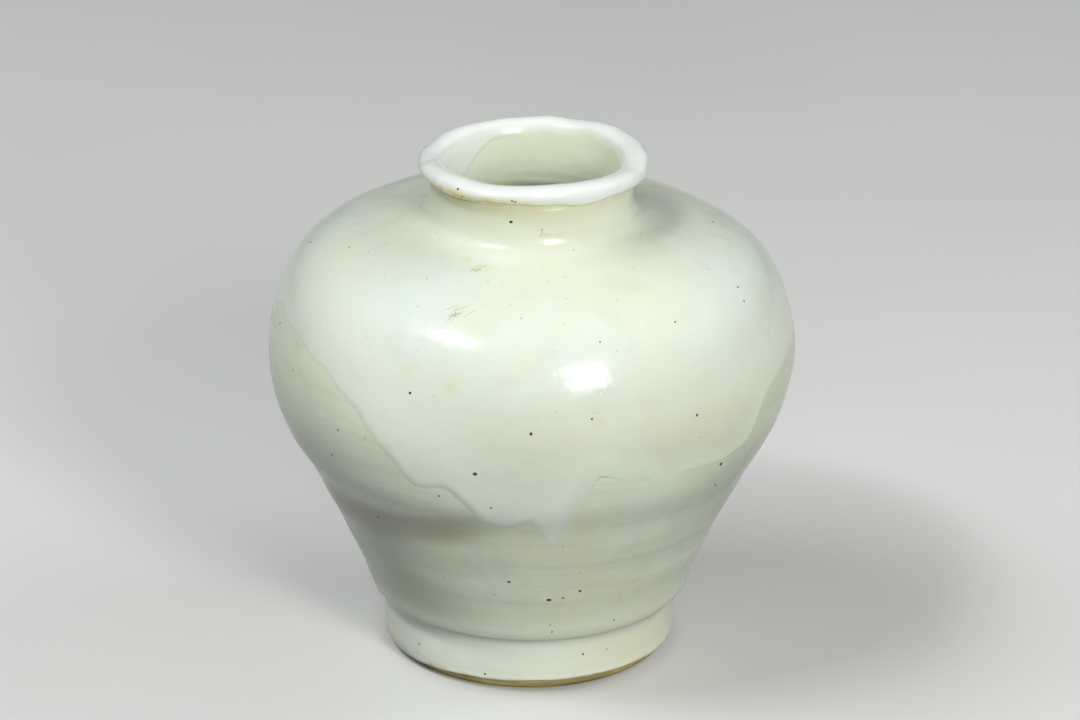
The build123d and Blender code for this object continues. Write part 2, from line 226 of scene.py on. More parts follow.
# Cream and brownish smudges in the poured coat: place in the picture, radius in millimetres, strength
SMUDGES = [(410, 370, 2.4, 0.30), (450, 386, 2.6, 0.34), (436, 378, 1.4, 0.27), (600, 420, 1.6, 0.30),
           (468, 262, 1.3, 0.47), (485, 270, 1.6, 0.47), (470, 273, 1.0, 0.41), (488, 282, 0.6, 0.85),
           (504, 283, 0.5, 0.81), (462, 283, 0.7, 0.41), (522, 290, 0.5, 0.68), (598, 334, 0.6, 0.68),
           (432, 427, 0.5, 0.81), (705, 437, 1.4, 0.41), (625, 497, 1.6, 0.41)]
# Middles of the worn hairline patches: place in the picture, spread in millimetres, number of hairlines
SCUFFS = [(457, 313, 3.2, 12), (544, 233, 2.2, 6), (477, 268, 2.6, 7)]
HAIR_RADIUS = 0.065
HAIR_STEPS = 5
HAIR_SCATTER = 0.45  # of the hairlines' middles, as a share of a patch's spread

# Tints of the finishes, as linear red, green and blue
RUN_GREY = (0.62, 0.66, 0.55)
DUST_BROWN = (0.30, 0.22, 0.10)
BLOTCH_BROWN = (0.56, 0.48, 0.22)
HAZE_CREAM = (0.60, 0.60, 0.44)
PINHOLE_GREY = (0.40, 0.40, 0.30)
RING_BROWN = (0.46, 0.43, 0.28)
# Painted shade: the first coat darkened towards its lower left
LEFT_SHADE = (0.46, 0.52, 0.37)
# Painted shade: the first coat darkened on its right side
RIGHT_SHADE = (0.48, 0.52, 0.36)
# Painted shade: the first coat darkened in the crease below the belly, on the front left
CREASE_SHADE = (0.33, 0.35, 0.23)
COLLAR_WARM = (0.70, 0.70, 0.47)
HEM_TOAST = (0.62, 0.42, 0.17)
LINER_GREEN = (0.52, 0.55, 0.42)
SAND_BROWN = (0.10, 0.06, 0.03)
SPECK_RUST = (0.10, 0.06, 0.02)
PIT_RUST = (0.30, 0.15, 0.05)
HAIR_DARK = (0.34, 0.32, 0.16)
HAIR_LIGHT = (0.48, 0.46, 0.27)
FLOOR_LIGHT = (0.76, 0.76, 0.74)
FLOOR_CLOUD = (0.73, 0.73, 0.71)
FLOOR_UNSEEN = (0.05, 0.05, 0.05)  # what the floor gives back to light that only bounces off it
ROOM_GREY = (0.08, 0.08, 0.08, 1)
DARK_CLAY = 0.62  # darkest clay and palest slip, as shares of the bare clay's colour
PALE_SLIP = 1.2
CLOUD_ROUGHNESS = 0.55

# Camera of the picture: place in metres, angles in degrees, lens and sensor in millimetres, then pixels
CAMERA_PLACE = (0.0027, -1.4089, 0.6838)
CAMERA_PITCH = 23.02
CAMERA_ROLL = 0.4
CAMERA_LENS = 178.6
CAMERA_SENSOR = 36.0
PICTURE = (1080, 720)
# Lamps: bearing and rise in degrees, distance and size in metres, power in watts, colour
SOFTBOXES = {
    "right_softbox": (25, 27, 1.2, (0.27, 0.36), 7.0, (1.0, 0.99, 0.97)),
    "left_softbox": (-52, 57, 1.2, (0.32, 0.16), 3.4, (0.98, 1.0, 1.03)),
}
FILL_SIZE = (0.9, 0.9)
FILL_COLOUR = (0.98, 1.0, 1.02)
FILLS = {
    "left_fill": (-89, 53, 1.6, FILL_SIZE, 10.8, FILL_COLOUR),
    "right_fill": (100, 38, 1.6, FILL_SIZE, 7.8, FILL_COLOUR),
    "front_fill": (7, 11, 1.6, FILL_SIZE, 7.6, FILL_COLOUR),
}
LAMP_AIM = (0, 0, 0.085)
FLOOR_REACH = 6


def size_property(name, description, millimetres):
    """A length that a user can change."""
    return FloatProperty(
        name=name, description=description, default=millimetres * MM, unit="LENGTH", precision=5)


def colour_property(name, description, default):
    """A colour that a user can change."""
    return FloatVectorProperty(name=name, description=description, subtype="COLOR", size=3, default=default)


class JarCoats(bpy.types.PropertyGroup):
    """Sizes of the coats of glaze"""

    thin_coat: size_property("Thin coat", "Thickness of the first coat", 0.5)
    pour_coat: size_property("Poured coat", "Thickness of the second coat", 0.7)
    ridge_height: size_property("Ridge height", "How far the throwing ridges stand out", 0.2)
    ridge_tilt: size_property("Ridge tilt", "How far the ridges run off level", 1.6)
    wobble: size_property("Wobble", "Unevenness of the thrown wall", 0.24)
    hem_wave: size_property("Hem wave", "Small waves of the glaze's edge above the bare tread", 0.35)
    lip_wave: FloatProperty(
        name="Lip wave", description="Factor on the waves of the lip", default=1.0, min=0.0, max=2.0)
    seed: IntProperty(name="Seed", description="Seed of everything scattered", default=7, min=0)


class JarColours(bpy.types.PropertyGroup):
    """Colours of the glazes, the clay and the iron"""

    pour_cool: colour_property("Poured, cool", "Poured coat where it is thick", (0.72, 0.80, 0.72))
    pour_warm: colour_property("Poured, warm", "Creamy clouds in the poured coat", (0.74, 0.78, 0.64))
    thin_cool: colour_property("Thin, cool", "First coat", (0.75, 0.84, 0.68))
    thin_warm: colour_property("Thin, warm", "Clouds in the first coat", (0.76, 0.81, 0.61))
    lip_white: colour_property("Lip", "Thick white glaze of the lip", (0.81, 0.84, 0.80))
    milk: colour_property("Milk", "Poured coat where it has run thick above its edge", (0.87, 0.93, 0.80))
    # Cream, which on the neck is also painted shade under the lip and on the front of the shoulder is
    # painted shade
    cream_and_shade: colour_property("Cream", "Yellower glaze on the neck and the belly", (0.66, 0.68, 0.51))
    collar_white: colour_property("Collar", "Thick glaze on the collar of the foot", (0.88, 0.93, 0.80))
    stain: colour_property("Stain", "Yellow-brown dirt in the creases", (0.68, 0.59, 0.18))
    biscuit: colour_property("Bare clay", "Unglazed clay of the tread", (0.78, 0.63, 0.26))
    iron: colour_property("Iron", "Iron specks", (0.03, 0.024, 0.012))


# Lines and fields


def smooth_line(points, start, end, count):
    """Even points on the smoothest curve through the stations, with the given directions at its ends."""
    points = np.array(points, float)
    chord = np.diff(points, axis=0)
    step = np.hypot(*chord.T)
    knots = np.concatenate([[0], np.cumsum(step)])
    size = len(points)
    matrix = np.zeros((size, size))
    right = np.zeros((size, 2))
    matrix[0, 0] = matrix[-1, -1] = 1
    right[0] = np.array(start) / np.hypot(*start)
    right[-1] = np.array(end) / np.hypot(*end)
    for i in range(1, size - 1):
        before, after = step[i - 1], step[i]
        matrix[i, i - 1:i + 2] = after, 2 * (before + after), before
        right[i] = 3 * (after * chord[i - 1] / before + before * chord[i] / after)
    slopes = np.linalg.solve(matrix, right)
    at = np.linspace(0, knots[-1], count)
    piece = np.clip(np.searchsorted(knots, at, side="right") - 1, 0, size - 2)
    width = step[piece][:, None]
    t = (at - knots[piece])[:, None] / width
    return ((2 * t**3 - 3 * t**2 + 1) * points[piece] + (t**3 - 2 * t**2 + t) * width * slopes[piece]
            + (3 * t**2 - 2 * t**3) * points[piece + 1] + (t**3 - t**2) * width * slopes[piece + 1])


def open_line(points, count):
    """Smooth line that leaves its first and last station towards their neighbours."""
    points = np.array(points, float)
    return smooth_line(points, points[1] - points[0], points[-1] - points[-2], count)


def bend(start, direction, end, count=24):
    """Points on the round arc that leaves start in a direction and reaches end."""
    start, end = np.array(start, float), np.array(end, float)
    along = np.array(direction, float) / np.hypot(*direction)
    across = np.array([-along[1], along[0]])
    chord = end - start
    radius = chord @ chord / (2 * chord @ across)
    middle = start + radius * across
    turn = 2 * math.atan2(chord @ across, chord @ along)
    angle = np.linspace(0, turn, count)[:, None]
    return middle - radius * across * np.cos(angle) + radius * along * np.sin(angle)


def from_level(degrees):
    """Direction outwards at an angle above level."""
    return (math.cos(math.radians(degrees)), math.sin(math.radians(degrees)))


def from_upright(degrees):
    """Direction upwards that leans out by an angle."""
    return from_level(degrees)[::-1]


class Outline:
    """A line in (radius, height), in metres, read by the distance along it."""

    def __init__(self, millimetres):
        points = np.array(millimetres, float)
        keep = np.concatenate([[True], np.hypot(*np.diff(points, axis=0).T) > 1e-6])
        self.points = points[keep] * MM
        self.along = np.concatenate([[0], np.cumsum(np.hypot(*np.diff(self.points, axis=0).T))])
        self.length = self.along[-1]
        direction = np.gradient(self.points, self.along, axis=0)
        direction /= np.hypot(*direction.T)[:, None]
        self.lean = np.stack([direction[:, 1], -direction[:, 0]], axis=1)

    def at(self, distance):
        """Points and outward leans at these distances."""
        point, lean = (
            np.stack([np.interp(distance, self.along, values[:, i]) for i in (0, 1)], axis=-1)
            for values in (self.points, self.lean))
        return point, lean / np.linalg.norm(lean, axis=-1)[..., None]

    def distance_at_height(self, height):
        """Distance along an outline that rises all the way."""
        return np.interp(height, self.points[:, 1], self.along)


def clay_outline():
    """Outer line of the clay from the tread to the lip's seat."""
    root = from_upright(ROOT_LEAN)
    level, rise = from_level(CROWN_SLOPE)
    crown = (-level, rise)
    return Outline(np.concatenate([
        bend(COLLAR_FOOT, (0, -1), TREAD)[::-1],
        np.linspace(COLLAR_FOOT, COLLAR_TOP, 20),
        bend(COLLAR_TOP, (0, 1), GROOVE),
        smooth_line([GROOVE, BODY[0]], from_level(ROLL_SLOPE), root, 40),
        smooth_line(BODY, root, crown, 1200),
        smooth_line(NECK, crown, from_upright(NECK_LEAN), 500),
    ]))


def step_up(value, low, high):
    """0 below low, 1 above high and smooth between."""
    t = np.clip((value - low) / (high - low), 0, 1)
    return t * t * (3 - 2 * t)


def hump(value, middle, reach):
    """1 at the middle, falling off within about a reach on both sides."""
    return np.exp(-(((value - middle) / reach) ** 2))


def bell(reach):
    """Weights of a soft average over a reach, one for each fine step."""
    span = round(3 * reach / FINE)
    weight = np.exp(-0.5 * (np.arange(-span, span + 1) * FINE / reach) ** 2)
    return weight / weight.sum()


def round_table(table, degrees, soften):
    """Value of a table of bearings at these bearings, going round, with its corners softened."""
    fine = np.arange(-180, 180, FINE)
    ordered = sorted(((a + 180) % 360 - 180, value) for a, value in table)
    values = np.interp(fine, *zip(*ordered), period=360)
    weight = bell(soften)
    reach = len(weight) // 2
    values = np.convolve(np.concatenate([values[-reach:], values, values[:reach]]), weight, mode="valid")
    return np.interp((np.array(degrees) + 180) % 360 - 180, fine, values, period=360)


def pooled(reach, low, high):
    """Glaze pooled in the clay's hollow bends between two heights: distances, points, leans and shifts."""
    even = np.arange(0, CLAY.length, FINE * MM)
    points, lean = CLAY.at(even)
    weight = bell(reach)
    span = len(weight) // 2
    padded = np.concatenate([
        2 * points[0] - points[span:0:-1], points, 2 * points[-1] - points[-2:-span - 2:-1]])
    soft = np.stack([np.convolve(padded[:, i], weight, mode="valid") for i in (0, 1)], axis=1)
    shift = soft - points
    inward = np.minimum((shift * lean).sum(axis=1) + POOL_BITE * MM, 0)
    shift -= lean * inward[:, None]
    height = points[:, 1]
    begin = step_up(height, (low - POOL_FADE[0]) * MM, low * MM)
    end = step_up(height, (high + POOL_FADE[1]) * MM, high * MM)
    return even, points, lean, shift * (begin * end)[:, None]


def pooled_outline(reach, low, high):
    """The clay's line with the glaze pooled on it."""
    _, points, _, shift = pooled(reach, low, high)
    return Outline(np.concatenate([points + shift, CLAY.points[-1:]]) / MM)


CLAY = clay_outline()
COLLAR_GLAZE = pooled_outline(*COLLAR_POOL)


def lumps(points, size, offset=0.0):
    """Smooth noise between about -1 and 1 at points in metres, with lumps of that size."""
    scaled = points.reshape(-1, 3) / size + offset
    return np.array([noise.noise(Vector(p)) for p in scaled]).reshape(points.shape[:-1])


def soft_dents(dents, height, degrees):
    """Sum of soft dents at these heights and bearings, in metres."""
    total = np.zeros(np.shape(height))
    for bearing, level, depth, spread, reach in dents:
        near = (np.cos(np.radians(degrees - bearing)) - 1) / math.radians(spread) ** 2
        total += depth * MM * np.exp(near - ((height - level * MM) / (reach * MM)) ** 2)
    return total


def turned(radius, height, degrees):
    """Points at these radii, heights and bearings."""
    angle = np.radians(degrees)
    return np.stack([radius * np.sin(angle), -radius * np.cos(angle), height + 0 * angle], axis=-1)


def all_round(rows):
    """One section's values repeated for every column."""
    return np.broadcast_to(rows[:, None], (len(rows), COLUMNS, *rows.shape[1:]))


# Meshes


def add_piece(name, mesh):
    """A new object for a mesh in the part's frame."""
    piece = bpy.data.objects.new(name, mesh)
    bpy.context.scene.collection.objects.link(piece)
    return piece


def keep_value(mesh, name, value):
    """Keeps a number for each point of a mesh."""
    values = np.asarray(value, np.float32).ravel()
    mesh.attributes.new(name, "FLOAT", "POINT").data.foreach_set("value", values)


def keep_direction(mesh, name, value):
    """Keeps a direction for each point of a mesh."""
    values = np.asarray(value, np.float32).ravel()
    mesh.attributes.new(name, "FLOAT_VECTOR", "POINT").data.foreach_set("vector", values)


def ring_mesh(name, points, values):
    """Closed ring from a grid of points: rows go round the section, columns round the axis."""
    rows, columns = points.shape[:2]
    index = np.arange(rows * columns).reshape(rows, columns)
    up, beside = np.roll(index, -1, axis=0), np.roll(index, -1, axis=1)
    faces = np.stack([index, beside, np.roll(up, -1, axis=1), up], axis=-1).reshape(-1, 4)
    mesh = bpy.data.meshes.new(name)
    mesh.from_pydata(points.reshape(-1, 3).tolist(), [], faces.tolist())
    for key, value in values.items():
        keep_value(mesh, key, value)
    return outwards(mesh)


def outwards(mesh):
    """Turns a closed mesh right side out and shades it smooth."""
    mesh.update()
    mesh.calc_loop_triangles()
    corner = np.zeros(len(mesh.vertices) * 3, np.float32)
    mesh.vertices.foreach_get("co", corner)
    triangle = np.zeros(len(mesh.loop_triangles) * 3, np.int32)
    mesh.loop_triangles.foreach_get("vertices", triangle)
    a, b, c = corner.reshape(-1, 3).astype(float)[triangle.reshape(-1, 3)].transpose(1, 0, 2)
    if np.einsum("ij,ij->i", a, np.cross(b, c)).sum() < 0:
        mesh.flip_normals()
    mesh.polygons.foreach_set("use_smooth", np.ones(len(mesh.polygons), bool))
    mesh.update()
    return mesh


def surface_of(*names):
    """Search tree of the faces of some pieces."""
    corners, faces = [], []
    for name in names:
        mesh = bpy.data.objects[name].data
        first = len(corners)
        corners += [v.co.copy() for v in mesh.vertices]
        faces += [tuple(first + i for i in p.vertices) for p in mesh.polygons]
    return BVHTree.FromPolygons(corners, faces)


def camera_axes():
    """Right, up and forward of the camera."""
    pitch, roll = math.radians(CAMERA_PITCH), math.radians(CAMERA_ROLL)
    forward = Vector((0, math.cos(pitch), -math.sin(pitch)))
    level = Vector((1, 0, 0))
    upright = level.cross(forward)
    right = math.cos(roll) * level + math.sin(roll) * upright
    return right, right.cross(forward), forward


def seen_at(surface, x, y):
    """Point and normal of the surface behind a place in the picture."""
    right, up, forward = camera_axes()
    pixels = CAMERA_LENS / CAMERA_SENSOR * PICTURE[0]
    ray = forward + (x - PICTURE[0] / 2) / pixels * right - (y - PICTURE[1] / 2) / pixels * up
    point, normal, _, _ = surface.ray_cast(Vector(CAMERA_PLACE), ray.normalized())
    if point is None:
        raise RuntimeError(f"the jar isn't seen at {x}, {y}")
    return point, normal


# Node trees


def add_node(tree, kind, inputs=None, **settings):
    """A node with its settings, and its inputs set or wired by name or number."""
    node = tree.nodes.new(kind)
    for key, value in settings.items():
        setattr(node, key, value)
    for key, value in (inputs or {}).items():
        if isinstance(value, bpy.types.NodeSocket):
            tree.links.new(value, node.inputs[key])
        else:
            node.inputs[key].default_value = value
    return node


def result_of(tree, operation, a, b=0.0, c=0.0):
    """Result of a math node."""
    return add_node(tree, "ShaderNodeMath", {0: a, 1: b, 2: c}, operation=operation).outputs[0]


def stored(tree, key, kind="FLOAT"):
    """What the points keep under a name."""
    return add_node(tree, "GeometryNodeInputNamedAttribute", {"Name": key}, data_type=kind).outputs[0]


def vector_of(tree, x, y, z=0.0):
    """A vector from its three parts."""
    return add_node(tree, "ShaderNodeCombineXYZ", {"X": x, "Y": y, "Z": z}).outputs[0]


def geometry_tree(name, inputs):
    """A new geometry tree with its input sockets; returns the tree, its inputs by name and its output."""
    tree = bpy.data.node_groups.new(name, "GeometryNodeTree")
    tree.interface.new_socket("Geometry", in_out="INPUT", socket_type="NodeSocketGeometry")
    for key, kind in inputs.items():
        tree.interface.new_socket(key, in_out="INPUT", socket_type="NodeSocket" + kind)
    tree.interface.new_socket("Geometry", in_out="OUTPUT", socket_type="NodeSocketGeometry")
    entry = add_node(tree, "NodeGroupInput")
    leave = add_node(tree, "NodeGroupOutput").inputs[0]
    return tree, {s.name: s for s in entry.outputs if s.name}, leave


def end_tree(tree, geometry, material, leave):
    """Ends a tree with plain geometry in its material."""
    real = add_node(tree, "GeometryNodeRealizeInstances", {"Geometry": geometry}).outputs[0]
    dressed = add_node(tree, "GeometryNodeSetMaterial", {"Geometry": real, "Material": material}).outputs[0]
    tree.links.new(dressed, leave)
    return tree


def run_tree(tree, mesh, name, inputs):
    """Runs a geometry tree on a mesh and returns the result as a plain piece."""
    source = add_piece(name + "_source", mesh)
    modifier = source.modifiers.new(name, "NODES")
    modifier.node_group = tree
    for item in tree.interface.items_tree:
        if item.in_out == "INPUT" and item.name in inputs:
            modifier[item.identifier] = inputs[item.name]
    depsgraph = bpy.context.evaluated_depsgraph_get()
    result = bpy.data.meshes.new_from_object(source.evaluated_get(depsgraph), depsgraph=depsgraph)
    source.modifiers.remove(modifier)
    bpy.data.objects.remove(source)
    if not result.polygons:
        raise RuntimeError(f"the tree of {name} made nothing")
    result.name = name
    return add_piece(name, result)


def add_curve(tree, value, table, reach):
    """A value read from a table with keys from 0 to the last one and values between -reach and reach."""
    last = table[-1][0]
    curve = add_node(tree, "ShaderNodeFloatCurve", {"Value": result_of(tree, "DIVIDE", value, last)})
    points = curve.mapping.curves[0].points
    spots = [(key / last, 0.5 + out / reach / 2) for key, out in table]
    points[0].location, points[-1].location = spots[0], spots[-1]
    for spot in spots[1:-1]:
        points.new(*spot)
    curve.mapping.update()
    return result_of(tree, "MULTIPLY_ADD", curve.outputs[0], 2.0 * reach, -reach)


def add_dents(tree, turn, height, dents):
    """Sum of soft dents round the wall, in metres."""
    calc = partial(result_of, tree)
    total = 0.0
    for bearing, level, depth, degrees, reach in dents:
        tight = 1 / math.radians(degrees) ** 2
        near = calc("COSINE", calc("SUBTRACT", turn, math.radians(bearing)))
        near = calc("MULTIPLY_ADD", near, tight, -tight)
        far = calc("DIVIDE", calc("SUBTRACT", height, level * MM), reach * MM)
        fall = calc("EXPONENT", calc("SUBTRACT", near, calc("MULTIPLY", far, far)))
        total = calc("MULTIPLY_ADD", fall, depth * MM, total)
    return total


def collar_reach(tree, height):
    """How far the collar's curl into the tread reaches at a height, from the middle of its arc."""
    calc = partial(result_of, tree)
    flare = COLLAR_FOOT[0] - TREAD[0]
    radius = (flare**2 + COLLAR_FOOT[1] ** 2) / (2 * flare) * MM
    below = calc("MAXIMUM", calc("SUBTRACT", COLLAR_FOOT[1] * MM, height), 0.0)
    return calc("SQRT", calc("SUBTRACT", radius**2, calc("MULTIPLY", below, below)))


def turned_tree(dents):
    """Turns a section about the axis, with throwing ridges, an uneven and dented wall and a wavy hem."""
    tree, entry, leave = geometry_tree("turned_coat", {
        "Columns": "Int", "Rows": "Int", "Ridge Height": "Float", "Ridge Tilt": "Float", "Wobble": "Float",
        "Hem Wave": "Float", "Seed": "Float", "Glaze": "Material"})
    calc = partial(result_of, tree)
    vector = partial(vector_of, tree)
    index = add_node(tree, "GeometryNodeInputIndex").outputs[0]
    row = calc("FLOORED_MODULO", index, entry["Rows"])
    column = calc("FLOOR", calc("DIVIDE", index, entry["Rows"]))
    turn = calc("MULTIPLY", calc("DIVIDE", column, entry["Columns"]), math.tau)
    sine, cosine = calc("SINE", turn), calc("COSINE", turn)

    def on_section(source, kind="FLOAT"):
        inputs = {"Geometry": entry["Geometry"], "Value": source, "Index": row}
        return add_node(tree, "GeometryNodeSampleIndex", inputs, data_type=kind).outputs[0]

    def clouds(place, scale, detail, lowest, highest):
        inputs = {"Vector": place, "W": entry["Seed"], "Scale": scale, "Detail": detail}
        cloud = add_node(tree, "ShaderNodeTexNoise", inputs, noise_dimensions="4D").outputs[0]
        return calc("MULTIPLY_ADD", cloud, highest - lowest, lowest)

    position = add_node(tree, "GeometryNodeInputPosition").outputs[0]
    place, lean = (
        add_node(tree, "ShaderNodeSeparateXYZ", {0: on_section(source, "FLOAT_VECTOR")}).outputs
        for source in (position, stored(tree, "lean", "FLOAT_VECTOR")))
    relief, hem, outside = (on_section(stored(tree, key)) for key in ("relief", "hem", "outside"))

    tilt = calc("MULTIPLY", calc("SINE", calc("ADD", turn, RIDGE_TURN)), entry["Ridge Tilt"])
    level = calc("DIVIDE", calc("ADD", place["Z"], tilt), MM)
    ridge = calc("MULTIPLY", add_curve(tree, level, RIDGES, 1.0), entry["Ridge Height"])
    patches = clouds(vector(sine, cosine, calc("MULTIPLY", level, RIDGE_PATCH_RISE)), *RIDGE_PATCHES)
    ridge = calc("MULTIPLY", ridge, patches)
    around = vector(calc("MULTIPLY", sine, place["X"]), calc("MULTIPLY", cosine, place["X"]), place["Z"])
    uneven = calc("MULTIPLY", clouds(around, *WALL_WOBBLE), entry["Wobble"])
    out = calc("MULTIPLY", calc("ADD", ridge, uneven), relief)
    out = calc("MULTIPLY_ADD", outside, add_dents(tree, turn, place["Z"], dents), out)

    hem_line = sorted((a % 360, (height - HEM_START) * MM) for a, height in HEM)
    hem_line.append((360, hem_line[0][1]))
    wave = calc("MULTIPLY", clouds(vector(sine, cosine), *HEM_WAVES), entry["Hem Wave"])
    wave = calc("ADD", wave, add_curve(tree, calc("DEGREES", turn), hem_line, HEM_REACH * MM))
    raised = calc("ADD", place["Z"], calc("MULTIPLY", hem, wave))
    shift = calc("SUBTRACT", collar_reach(tree, raised), collar_reach(tree, place["Z"]))

    radius = calc("MULTIPLY_ADD", lean["X"], out, calc("ADD", place["X"], shift))
    height = calc("MULTIPLY_ADD", lean["Z"], out, raised)
    spot = vector(
        calc("MULTIPLY", radius, sine), calc("MULTIPLY", radius, calc("MULTIPLY", cosine, -1.0)), height)
    grid = add_node(tree, "GeometryNodeMeshGrid", {
        "Vertices X": calc("ADD", entry["Columns"], 1), "Vertices Y": entry["Rows"]}).outputs["Mesh"]
    moved = add_node(tree, "GeometryNodeSetPosition", {"Geometry": grid, "Position": spot}).outputs[0]
    closed = add_node(tree, "GeometryNodeMergeByDistance", {"Geometry": moved, "Distance": 2e-6}).outputs[0]
    return end_tree(tree, closed, entry["Glaze"], leave)


def turned_piece(name, place, lean, shares, inputs, dents=()):
    """A coat turned from a section, whose points keep their shares of the relief, the hem and the dents."""
    mesh = bpy.data.meshes.new(name)
    mesh.from_pydata([(r, 0, z) for r, z in place], [], [])
    keep_direction(mesh, "lean", np.insert(lean, 1, 0, axis=1))
    for key, share in shares.items():
        keep_value(mesh, key, share)
    piece = run_tree(turned_tree(dents), mesh, name, {"Rows": len(place), **inputs})
    outwards(piece.data)
    return piece


def speck_tree():
    """Sets a low round grain on every point, along its normal and at its size."""
    tree, entry, leave = geometry_tree("iron_grains", {"Flatness": "Float", "Iron": "Material"})
    calc = partial(result_of, tree)
    ball = add_node(tree, "GeometryNodeMeshUVSphere", {"Segments": 12, "Rings": 5, "Radius": 1.0})
    grain = add_node(tree, "GeometryNodeSetShadeSmooth", {"Geometry": ball.outputs["Mesh"]}).outputs[0]
    normal = stored(tree, "facing", "FLOAT_VECTOR")
    size = stored(tree, "size")
    long = calc("MULTIPLY", size, stored(tree, "stretch"))
    turn = add_node(tree, "FunctionNodeAlignRotationToVector", {"Vector": normal}, axis="Z").outputs[0]
    scale = vector_of(tree, long, size, calc("MULTIPLY", size, entry["Flatness"]))
    grains = add_node(tree, "GeometryNodeInstanceOnPoints", {
        "Points": entry["Geometry"], "Instance": grain, "Rotation": turn, "Scale": scale}).outputs[0]
    return end_tree(tree, grains, entry["Iron"], leave)


def hairline_tree():
    """Makes every edge path a fine round hairline."""
    tree, entry, leave = geometry_tree("hairlines", {"Radius": "Float", "Dirt": "Material"})
    path = add_node(tree, "GeometryNodeMeshToCurve", {"Mesh": entry["Geometry"]}).outputs[0]
    ring = add_node(tree, "GeometryNodeCurvePrimitiveCircle", {"Resolution": 5, "Radius": entry["Radius"]})
    line = add_node(tree, "GeometryNodeCurveToMesh", {
        "Curve": path, "Profile Curve": ring.outputs[0], "Fill Caps": True}).outputs[0]
    return end_tree(tree, line, entry["Dirt"], leave)


# Materials


class Finish:
    """A material in the making: one principled shader, its colour so far and the nodes that feed them."""

    def __init__(self, name, inputs):
        self.material = bpy.data.materials.new(name)
        self.material.use_nodes = True
        self.tree = self.material.node_tree
        self.tree.nodes.clear()
        self.shader = add_node(self.tree, "ShaderNodeBsdfPrincipled", inputs)
        add_node(self.tree, "ShaderNodeOutputMaterial", {"Surface": self.shader.outputs[0]})
        self.place = add_node(self.tree, "ShaderNodeTexCoord").outputs["Object"]
        self.colour = None

    def noise(self, scale, detail=3.0, low=0.35, high=0.65, squeeze=None):
        """Clouds of noise spread over 0 to 1."""
        place = self.place
        if squeeze:
            place = add_node(self.tree, "ShaderNodeMapping", {"Vector": place, "Scale": squeeze}).outputs[0]
        cloud = add_node(self.tree, "ShaderNodeTexNoise", {
            "Vector": place, "Scale": scale, "Detail": detail, "Roughness": CLOUD_ROUGHNESS}).outputs[0]
        return self.spread(cloud, low, high)

    def spread(self, value, low, high, start=0.0, end=1.0):
        """A value mapped from low..high to start..end."""
        return add_node(self.tree, "ShaderNodeMapRange", {
            "Value": value, "From Min": low, "From Max": high, "To Min": start, "To Max": end},
            interpolation_type="SMOOTHSTEP").outputs[0]

    def attribute(self, name):
        """A value kept on the mesh."""
        return add_node(self.tree, "ShaderNodeAttribute", attribute_name=name).outputs["Fac"]

    def mix(self, factor, a, b):
        """Two colours mixed."""
        node = add_node(self.tree, "ShaderNodeMix", data_type="RGBA")
        self.tree.links.new(factor, node.inputs[0])
        for socket, value in ((node.inputs[6], a), (node.inputs[7], b)):
            if isinstance(value, bpy.types.NodeSocket):
                self.tree.links.new(value, socket)
            else:
                socket.default_value = (*value, 1.0)
        return node.outputs[2]

    def tint(self, mask, colour, strength=1.0):
        """Lays a colour over the one so far, where the mask is."""
        self.colour = self.mix(self.times(mask, strength), self.colour, colour)

    def times(self, *values):
        """Product of values."""
        return reduce(partial(result_of, self.tree, "MULTIPLY"), values)

    def dots(self, scale, radius, share):
        """Sparse round dots: cells of that scale, dots of that radius in some share of the cells."""
        cells = add_node(self.tree, "ShaderNodeTexVoronoi", {"Vector": self.place, "Scale": scale})
        chance = add_node(self.tree, "ShaderNodeSeparateColor", {0: cells.outputs["Color"]})
        near = self.spread(cells.outputs["Distance"], radius, radius * 0.45)
        return self.times(near, self.spread(chance.outputs[0], 1 - share - 0.02, 1 - share + 0.02))

    def bump(self, *layers):
        """Bump from (height, depth in millimetres) layers, strung one after the other."""
        normal = None
        for height, depth in layers:
            node = add_node(self.tree, "ShaderNodeBump", {
                "Height": height, "Distance": depth * MM, "Strength": 1.0})
            if normal is not None:
                self.tree.links.new(normal, node.inputs["Normal"])
            normal = node.outputs[0]
        self.feed("Normal", normal)

    def feed(self, key, value):
        """Wires a value into the shader."""
        self.tree.links.new(value, self.shader.inputs[key])

    def done(self):
        """The material with its colour wired in."""
        self.feed("Base Color", self.colour)
        return self.material


def glaze_finish(name, cool, warm, gloss=(0.14, 0.23)):
    """Glaze with creamy clouds, run marks, iron dust, pinholes and a soft orange-peel skin."""
    finish = Finish(name, {"IOR": 1.5})
    finish.colour = finish.mix(finish.noise(26.0, 4.0), cool, warm)
    finish.tint(finish.noise(150.0, squeeze=(1.0, 1.0, 0.16)), RUN_GREY, 0.10)
    finish.tint(finish.dots(420.0, 0.16, 0.10), DUST_BROWN, 0.6)
    blotches = finish.times(finish.dots(200.0, 0.14, 0.14), finish.noise(900.0, low=0.2, high=0.5))
    finish.tint(blotches, BLOTCH_BROWN, 0.5)
    finish.tint(finish.noise(75.0, 5.0, low=0.5, high=0.8), HAZE_CREAM, 0.28)
    pinholes = finish.dots(260.0, 0.12, 0.05)
    finish.tint(pinholes, PINHOLE_GREY, 0.35)
    finish.feed("Roughness", finish.spread(finish.noise(90.0), 0.0, 1.0, *gloss))
    skin = finish.noise(170.0, 2.0, low=0.2, high=0.8)
    fine = finish.noise(900.0, 2.0, low=0.2, high=0.8)
    finish.bump((skin, 0.07), (fine, 0.003), (finish.spread(pinholes, 0.0, 1.0, 1.0, 0.0), 0.04))
    return finish


